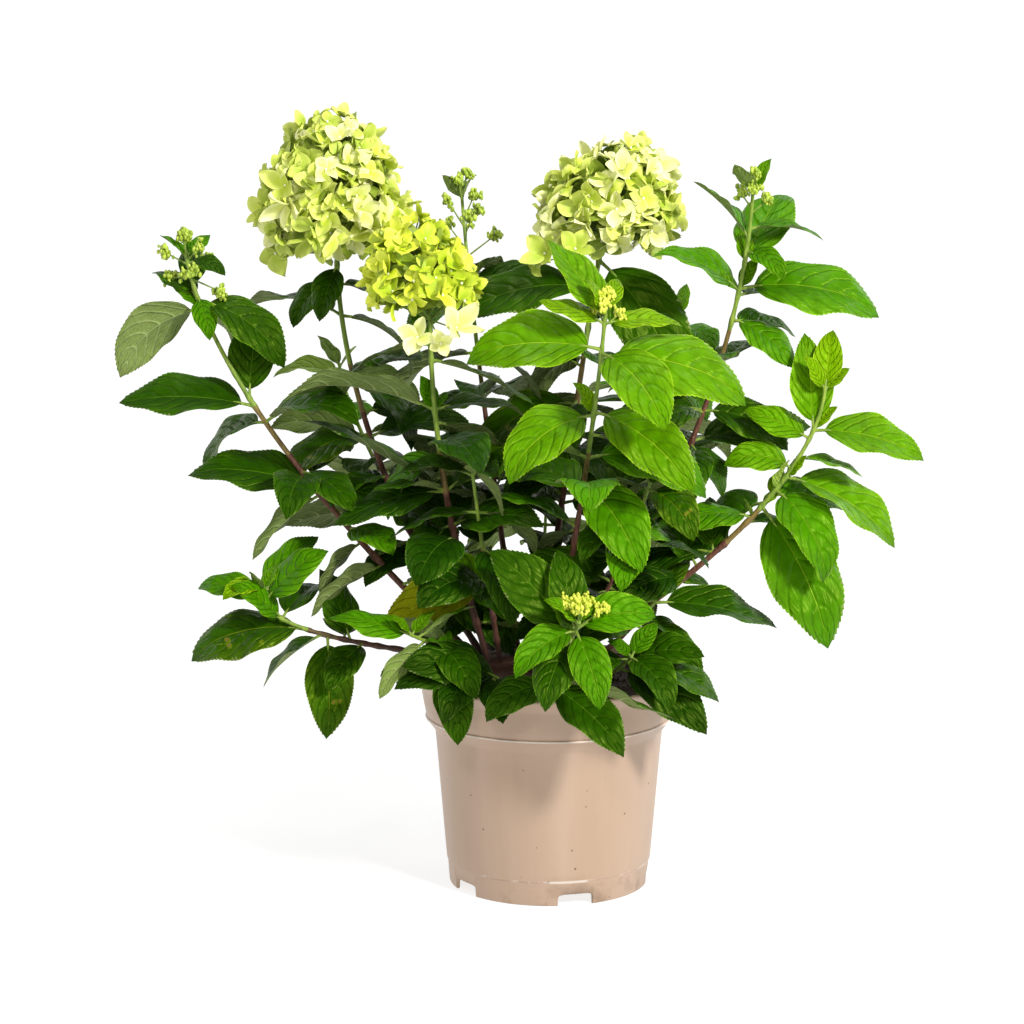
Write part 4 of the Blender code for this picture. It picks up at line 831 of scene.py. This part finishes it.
def inner_leaves(shoot, draw):
    """The finer growth that the source leaves out: a pair every 24 mm up the inner stem, each at right
    angles to the last, kept where its middle and tip lie in the heart of the crown, its middle is 15 mm
    clear of the others and its tip doesn't dip into the compost."""
    climb = stem_climb(shoot) / MM
    for k in range(int(0.72 * climb / INNER_STEP)):
        share = 0.10 + k * INNER_STEP / climb
        for side in (0, 180):
            leaf = leaf_from(shoot, share, 47 + 90 * k + side + draw.uniform(-30, 30), draw.uniform(52, 86),
                             draw.uniform(-22, 26), draw.uniform(25, 62), draw.uniform(-0.5, 1.0))
            spots, _ = midrib(leaf, np.array([MIDDLE, 1.0]))
            inside = ((spots / MM - HEART_CENTRE) / HEART_HALF) ** 2
            clear = np.linalg.norm(np.array(middles) - spots[0], axis=1).min() > APART * MM
            low = np.hypot(*spots[1][:2]) < 100 * MM and spots[1][2] < 156 * MM
            if inside.sum(1).max() < 1 and clear and not low:
                middles.append(spots[0])
                yield leaf


for shoot_name, shoot in SHOOTS.items():
    draw = random.Random(shoot["seed"] + 400)
    tint = {"bright": "young", "mid": "bright"}.get(shoot["tints"][1], "mid")
    for leaf in axil_leaves(shoot, shoot_name in HEADED, draw):
        grow(leaf, tint, draw)
for shoot in SHOOTS.values():
    draw = random.Random(shoot["seed"] + 200)
    for leaf in inner_leaves(shoot, draw):
        yellowed = draw.random() <= YELLOWED_SHARE
        tint = "yellowed" if yellowed else draw.choice(("deep", "deep", "mature", "mature", "mid"))
        curl = draw.uniform(-CURL, CURL) if draw.random() < CURLED_SHARE else 0.0
        grow(leaf, tint, draw, curl)


def map_shares(node):
    """What the map of a closed leaf or sepal says: its place, 1 on the back and 0 on the face, the share
    across from -1 to 1 and the height in the map."""
    place = node("UVMap", uv_map="OFBake")
    u = node("SeparateXYZ", place, out="X")
    under = node("Math", u, 0.5, operation="GREATER_THAN")
    folded = node("Math", under, -0.5, u, operation="MULTIPLY_ADD")
    across = node("MapRange", folded, MAP_EDGE, 0.5 - MAP_EDGE, -1.0, 1.0)
    return place, under, across, u.node.outputs["Y"]


def leaf_finish(name, upper, lower, vein):
    """Waxy upper face with sunk veins and a pale edge, matt paler underside with raised veins. Both are
    worked out from the blade share t and width share s: a side vein lies where N (t - 0.36 |s|^1.5) is
    whole. On a leaf of 90 mm the net of small veins has cells of 2.5 mm and the clouds are 8 mm across."""
    finish, node, shader = new_finish(name, IOR=1.45, Specular_IOR_Level=0.38, Specular_Tint="#D4F060")
    place, under, s, high = map_shares(node)
    far = node("Math", s, operation="ABSOLUTE")
    t = node("MapRange", high, MAP_EDGE, 1 - MAP_EDGE)
    root = node("Math", node("Math", far, 1.5, operation="POWER"), -VEIN_ARCH, t, operation="MULTIPLY_ADD")
    count = node("Math", root, VEIN_PAIRS, operation="MULTIPLY")
    off = node("Math", count, 0.5, operation="PINGPONG")
    furrow = node("Math", node("MapRange", off, 0.0, 0.24, 1.0, 0.0), 1.8, operation="POWER")
    side_vein = node("Math", node("MapRange", off, 0.02, 0.085, 1.0, 0.0),
                     node("MapRange", far, 0.8, 0.98, 1.0, 0.2), operation="MULTIPLY")
    main_vein = node("MapRange", far, 0.012, 0.035, 1.0, 0.0)
    veins = node("Math", side_vein, main_vein, operation="MAXIMUM")
    drawn = node("Mapping", place, Scale=(22.0, 26.0, 1.0))
    net = node("TexVoronoi", Vector=drawn, Scale=1.4, feature="DISTANCE_TO_EDGE")
    netted = node("MapRange", net, 0.0, 0.16, 1.0, 0.0)
    rungs = node("Mapping", node("CombineXYZ", s, count), Scale=(9.0, 0.8, 1.0))
    puckered = node("MapRange", node("TexNoise", Vector=rungs, Scale=1.0, Detail=1.5), 0.35, 0.65)
    clouds = node("MapRange", node("TexNoise", Vector=drawn, Scale=0.45, Detail=3.0), 0.35, 0.65)
    # Shade that drifts over the whole plant in patches of 62 mm
    patch = node("TexNoise", Vector=node("TexCoord", out="Object"), Scale=1 / (62.5 * MM), Detail=1.0)
    shade = node("Math", clouds, node("MapRange", patch, 0.38, 0.62), operation="ADD")
    dark = tuple(0.62 * part for part in linear(upper)[:3]) + (1.0,)
    # On the face the side veins and the net of small veins are drawn darker: painted shade in their furrows
    face = coated(node, upper, (dark, shade, 0.5), (vein, node("MapRange", far, 0.4, 1.0), 0.13),
                  (dark, netted, 0.1), (dark, side_vein, 0.05), (vein, main_vein, 0.55))
    if name.endswith("browned"):
        # Marks 20 mm across: yellow-green where the leaf begins to fail, brown in their middle
        decay = node("TexNoise", Vector=drawn, Scale=0.2, Detail=4.0, Roughness=0.6)
        face = coated(node, face, ("#8A9A1C", node("MapRange", decay, 0.59, 0.64, 0.0, 0.4)),
                      ("#7A5630", node("MapRange", decay, 0.64, 0.67, 0.0, 0.85)))
    face = coated(node, face, (vein, node("MapRange", far, 0.965, 0.99), 0.8))
    back = coated(node, lower, ("#A3B081", netted, 0.2), ("#AEBC80", veins, 0.55))
    relief = node("Math", puckered, 0.4, node("Math", furrow, main_vein, operation="MAXIMUM"),
                  operation="MULTIPLY_ADD")
    relief = node("Math", relief, node("MapRange", under, 0.0, 1.0, -1.0, 1.0), operation="MULTIPLY")
    fill(shader, {"Base Color": coated(node, face, (back, under)),
                  "Roughness": node("MapRange", under, 0.0, 1.0, 0.39, 0.62),
                  "Normal": node("Bump", Strength=1.0, Distance=0.8 * MM, Height=relief)})
    return finish


leaf_pieces = []
for tint, chunks in leaf_chunks.items():
    leaf_pieces += make_pieces("leaves_" + tint, chunks, leaf_finish("hydrangea_leaf_" + tint, *TINTS[tint]))
for piece in leaf_pieces:
    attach(piece, "root")
    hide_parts(*["leaves_" + name for name in SHOOTS])


# Green shoots and petioles: this year's soft growth, pale yellow-green and finely hairy, swollen at each
# leaf pair.

shoot_chunks = [limb(shoot, shoot["green"] - OVERLAP_SHARE, 1.0, 0.025) for shoot in SHOOTS.values()]
# Soft hairy skin: pale green with faint darker streaks 2 mm apart that run up the shoot
skin, node, skin_shader = new_finish("soft_green_shoot", Roughness=0.55, Sheen_Weight=0.15)
skin_drawn = node("Mapping", node("TexCoord", out="Object"), Scale=(1.0, 1.0, 0.2))
skin_streaks = node("TexNoise", Vector=skin_drawn, Scale=1 / (2.0 * MM), Detail=4.0)
skin_colour = coated(node, "#5E7E16", ("#8EA634", node("MapRange", skin_streaks, 0.35, 0.7)))
skin_bump = node("Bump", Strength=0.3, Distance=0.4 * MM, Height=skin_streaks)
fill(skin_shader, {"Base Color": skin_colour, "Normal": skin_bump})
green_shoots = make_piece("green_shoots_and_petioles", shoot_chunks + petiole_chunks, skin)
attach(green_shoots, "root")


# Bud sprays: the young flower heads at the ends of five shoots, thin branchlets spread by the golden turn
# that fork near their ends and carry small round buds.

GOLDEN_TURN = math.pi * (3 - math.sqrt(5))
LIME_SPRAYS = ("rim_front", "front_bright")
FORKS, BUDS_A_FORK = 9, 5


def direction(turn, rise):
    """Unit direction at a compass turn and a rise above level."""
    return np.array([math.cos(turn) * math.cos(rise), math.sin(turn) * math.cos(rise), math.sin(rise)])


def stalk(start, end, thick, thin):
    """A straight thin tube that tapers from one radius in mm to the other."""
    share = np.linspace(0, 1, 4)[:, None]
    return closed_body(tube_rings(start + (end - start) * share, (thick + (thin - thick) * share) * MM, 5))


def bud_spray(shoot, draw):
    """Branchlets as in the source, each with nine side stalks near its end; about the end of each stalk
    crowd five longish buds of 0.85 to 1.5 mm in radius."""
    first, number, reach = shoot["buds"]
    stalks, balls = [], []
    for k in range(number):
        base = stem_at(shoot, first + (1 - first) * (k + 0.3) / number)
        low, high = shoot.get("spread", (35, 80))
        turn, rise = k * GOLDEN_TURN, math.radians(low + (high - low) * (k + 0.5) / number)
        length = reach * MM * (1.15 - 0.5 * (k + 0.5) / number)
        end = base + direction(turn, rise) * length * 0.86
        stalks.append(stalk(base, end, 0.75, 0.45))
        for j in range(FORKS):
            root = base + (end - base) * (0.78 + 0.22 * j / (FORKS - 1))
            way = direction(turn + draw.uniform(-1.3, 1.3), rise + draw.uniform(-0.9, 0.7))
            tip = root + way * MM * draw.uniform(2.6, 6.4) * min(1.0, reach / 18)
            stalks.append(stalk(root, tip, 0.4, 0.35))
            for _ in range(BUDS_A_FORK):
                size = draw.uniform(0.85, 1.5) * MM
                shift = np.array([draw.uniform(-1, 1) for _ in range(3)]) * 2.1 * MM
                balls.append(closed_body(tip + shift + size * unit_ball(4, 6) * (1, 1, 1.35)))
    return stalks, balls


spray_stalks = []
spray_buds = {"green": [], "lime": []}
for shoot_name, shoot in SHOOTS.items():
    if "buds" in shoot:
        stalks, balls = bud_spray(shoot, random.Random(shoot["seed"] + 300))
        spray_stalks += stalks
        spray_buds["lime" if shoot_name in LIME_SPRAYS else "green"] += balls


def bud_finish(name, low, high):
    """Closed buds: waxy, mottled between two greens in clouds of 3 mm."""
    finish, node, shader = new_finish(name, Roughness=0.42)
    cloud = node("TexNoise", Vector=node("TexCoord", out="Object"), Scale=1 / (3.125 * MM), Detail=2.0)
    fill(shader, {"Base Color": coated(node, low, (high, node("MapRange", cloud, 0.35, 0.65)))})
    return finish


green_bud = bud_finish("waxy_green_bud", "#7A981C", "#BCD048")
lime_bud = bud_finish("waxy_lime_bud", "#A8BC18", "#E2E65A")
bud_pieces = [make_piece("green_buds", spray_buds["green"], green_bud),
              make_piece("lime_buds", spray_buds["lime"], lime_bud),
              make_piece("bud_stalks", spray_stalks, skin)]
for piece in bud_pieces:
    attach(piece, "root")


# Panicles: cone-shaped heads of sterile florets, each four broad cupped sepals round a tiny pale bud, on
# thin stalks from a central axis. A second, smaller layer lies inside, in the shade of the first.

# As in the source: shoot below, top in mm and seed. Then the number of florets, the share of the height
# that the lowest sits at, the widest that they stand out and the length of a sepal in mm, and the mix of
# colours
PANICLES = {
    "panicle_left": dict(shoot="tall_left", top=(-152, 30, 537), seed=41, florets=128, foot=0.07, reach=45,
                         sepal=13.5, mix="pale"),
    "panicle_front": dict(shoot="front_left", top=(-96, -45, 471), seed=43, florets=76, foot=0.18, reach=33,
                          sepal=11.8, mix="lime"),
    "panicle_centre": dict(shoot="tall_centre", top=(54, 40, 517), seed=45, florets=100, foot=0.09, reach=44,
                           sepal=13.5, mix="cream"),
}
PANICLE_RISE, PANICLE_FALL = 0.32, 0.86
SEPAL_ROWS, SEPAL_COLUMNS = 7, 5
SEPAL_HALF_WIDTH, SEPAL_THICKNESS = 0.47, 0.3
# Size of the inner layer and its number of florets, as shares of the outer one's
INNER_SHARE, INNER_FLORETS = 0.76, 0.5
# Most that a floret leans off its outward direction: in the heads, and where it hangs loose below them
SWAY, STRAY_SWAY = 0.6, 0.2
# Florets that hang loose below the heads: head, centre, way it faces and length of a sepal in mm
STRAYS = (("panicle_left", (-187, 18, 436), (-0.35, -0.85, 0.1), 15),
          ("panicle_front", (-87, -84, 389), (-0.3, -0.9, 0.5), 13.5),
          ("panicle_front", (-62, -84, 395), (0.3, -0.9, 0.6), 14.5),
          ("panicle_front", (-72, -82, 385), (0.1, -0.9, 0.1), 9.5),
          ("panicle_centre", (-3, 2, 437), (-0.4, -0.8, 0.3), 13.5),
          ("panicle_centre", (17, -8, 441), (0.1, -0.9, 0.3), 13.5),
          ("panicle_centre", (-10, 6, 430), (-0.6, -0.6, -0.2), 11))
# Each tint of a sepal: its heart and its edge. The shaded one, for the inner layer, is painted shade.
SEPAL_TINTS = {"pale": ("#C4D63A", "#E6EE84"), "pale_green": ("#A8C032", "#D0DC68"),
               "lime": ("#CCDC1E", "#E8EF58"), "lime_deep": ("#A8C418", "#CEDC3C"),
               "cream": ("#E2E878", "#F6F8BC"), "shaded": ("#809826", "#9EB242")}
MIXES = {"pale": ("pale", "pale", "pale_green", "cream"),
         "cream": ("pale", "pale", "cream", "cream", "cream", "pale_green"),
         "lime": ("lime", "lime", "lime_deep", "lime_deep")}


def panicle_radius(share, widest):
    """Egg-shaped outline: quick to its widest at a quarter of the height, then drawing in to the top."""
    return widest * humped(share, PANICLE_RISE, PANICLE_FALL)


def panicle_axis(panicle):
    """Foot and top of a head's axis: the foot is the tip of the shoot below."""
    return stem_at(SHOOTS[panicle["shoot"]], 1.0), np.array(panicle["top"]) * MM


def floret_places(panicle, number, shrink, draw):
    """Centres, outward directions, axis points and sepal lengths of florets. They go down the outline by
    the golden turn, at shares that divide the running sum of its radii evenly, so that each has the same
    room."""
    low, top = panicle_axis(panicle)
    height = np.linalg.norm(top - low)
    widest = panicle["reach"] * MM * shrink
    steps = np.linspace(0.33 + 0.6 * shrink, panicle["foot"], 200)
    girths = np.cumsum(panicle_radius(steps, 1.0))
    rows = []
    for k in range(number):
        share = float(np.interp((k + 0.5) / number * girths[-1], girths, steps))
        turn = k * GOLDEN_TURN + draw.uniform(-0.2, 0.2)
        radius = panicle_radius(share, widest) * draw.uniform(0.84, 1.07)
        above, beneath = (panicle_radius(part, widest) for part in (min(share + 0.02, 0.999), share - 0.02))
        slope = (above - beneath) / 0.04
        flat = np.array([math.cos(turn), math.sin(turn), 0.0])
        out = flat * height - np.array([0, 0, slope])
        axis = low + (top - low) * share
        rows.append((axis + flat * radius, out / np.linalg.norm(out), axis - (top - low) * min(0.22, share),
                     panicle["sepal"] * MM * (1.06 - 0.34 * share ** 2)))
    return rows


def sepal(centre, out, way, size, cup, droop, twist):
    """Broad sepal over its length r and width s: half width sin(pi r^0.85)^0.78, raised by the cup, bent
    back at the end by the droop and twisted about its length; the underside lies one thickness below."""
    r = np.linspace(0.03, 1, SEPAL_ROWS)[:, None]
    s = np.linspace(1, -1, SEPAL_COLUMNS)[None, :]
    narrowed = np.clip(np.sin(math.pi * (0.04 + 0.94 * r) ** 0.85), 0.02, 1) ** 0.78
    half = SEPAL_HALF_WIDTH * size * narrowed
    over = np.cross(out, way) * math.cos(twist) + out * math.sin(twist)
    lift = size * (cup * r + 0.22 * r * np.abs(s) ** 1.4 - droop * r ** 3)
    top = centre + way * (size * r)[..., None] + over * (half * s)[..., None] + out * lift[..., None]
    under = top - out * SEPAL_THICKNESS * MM
    return np.concatenate([top, under[:, -2:0:-1]], 1)


sepal_map = strip_places(np.linspace(0, 1, SEPAL_ROWS), np.linspace(1, -1, SEPAL_COLUMNS))


def floret(centre, out, size, draw):
    """Four sepals at right angles, two of them a little higher, and the round bud in their middle."""
    side = np.cross(out, (0.31, 0.22, 0.93))
    side /= np.linalg.norm(side)
    over = np.cross(out, side)
    spin = draw.uniform(0, math.pi / 2)
    cup = draw.uniform(-0.05, 0.8)
    twist = draw.uniform(-0.55, 0.55)
    sepals = []
    for j in range(4):
        turn = spin + j * math.pi / 2 + draw.uniform(-0.14, 0.14)
        way = math.cos(turn) * side + math.sin(turn) * over
        lifted = centre + out * (0.5 * MM * (j % 2))
        grown = size * draw.uniform(0.85, 1.08)
        cupped, droop = cup + draw.uniform(-0.25, 0.25), draw.uniform(-0.1, 0.5)
        sepals.append(closed_body(sepal(lifted, out, way, grown, cupped, droop, twist), sepal_map))
    return sepals, closed_body(centre + out * 0.9 * MM + 1.1 * MM * unit_ball(4, 6))


sepal_chunks = {name: [] for name in SEPAL_TINTS}
floret_buds, head_stalks = [], []
for head, panicle in PANICLES.items():
    draw = random.Random(panicle["seed"] + 500)
    low, top = panicle_axis(panicle)
    head_stalks.append(stalk(low, low + (top - low) * 0.9, 1.9, 0.8))
    rows = [(*row, length * draw.uniform(0.85, 1.12), draw.choice(MIXES[panicle["mix"]]), SWAY)
            for *row, length in floret_places(panicle, panicle["florets"], 1.0, draw)]
    inner = int(panicle["florets"] * INNER_FLORETS)
    # The inner layer's sepals take the darker shaded tint: painted shade
    rows += [(*row, "shaded", SWAY) for row in floret_places(panicle, inner, INNER_SHARE, draw)]
    stray_tint = "cream" if head == "panicle_front" else "pale_green"
    rows += [(np.array(place) * MM, np.array(faces) / np.linalg.norm(faces), low, size * MM, stray_tint,
              STRAY_SWAY) for name, place, faces, size in STRAYS if name == head]
    for centre, out, root, size, tint, sway in rows:
        lean = out + np.array([draw.uniform(-sway, sway) for _ in range(3)])
        sepals, bud = floret(centre, lean / np.linalg.norm(lean), size, draw)
        sepal_chunks[tint] += sepals
        floret_buds.append(bud)
        head_stalks.append(stalk(root, centre - out * 0.4 * MM, 0.7, 0.45))


def sepal_finish(name, deep, edge):
    """Petal-like sepal: greener in its heart, paler to the edge, with fine fanned veins pressed in."""
    finish, node, shader = new_finish(name, Roughness=0.55)
    _, _, s, high = map_shares(node)
    fan = node("Mapping", node("CombineXYZ", s, high), Scale=(5.0, 2.2, 1.0))
    veins = node("TexNoise", Vector=fan, Scale=1.6, Detail=5.0, Roughness=0.6)
    outwards = node("Math", node("Math", s, operation="ABSOLUTE"), high, operation="MAXIMUM")
    colour = coated(node, deep, (edge, node("MapRange", outwards, 0.35, 1.0)),
                    (edge, node("MapRange", veins, 0.42, 0.62), 0.25))
    bump = node("Bump", Strength=0.35, Distance=0.4 * MM, Height=veins)
    fill(shader, {"Base Color": colour, "Normal": bump})
    return finish


panicle_pieces = [make_piece("sepals_" + tint, chunks, sepal_finish("sepal_" + tint, *SEPAL_TINTS[tint]))
                  for tint, chunks in sepal_chunks.items() if chunks]
# Floret buds are nearly white; the stalks have the same soft skin as the shoots
pearl, _, _ = new_finish("pale_floret_bud", Base_Color="#F2F2D4", Roughness=0.4)
panicle_pieces.append(make_piece("floret_buds", floret_buds, pearl))
panicle_pieces.append(make_piece("panicle_stalks", head_stalks, skin))
for piece in panicle_pieces:
    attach(piece, "root")
    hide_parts(*PANICLES)
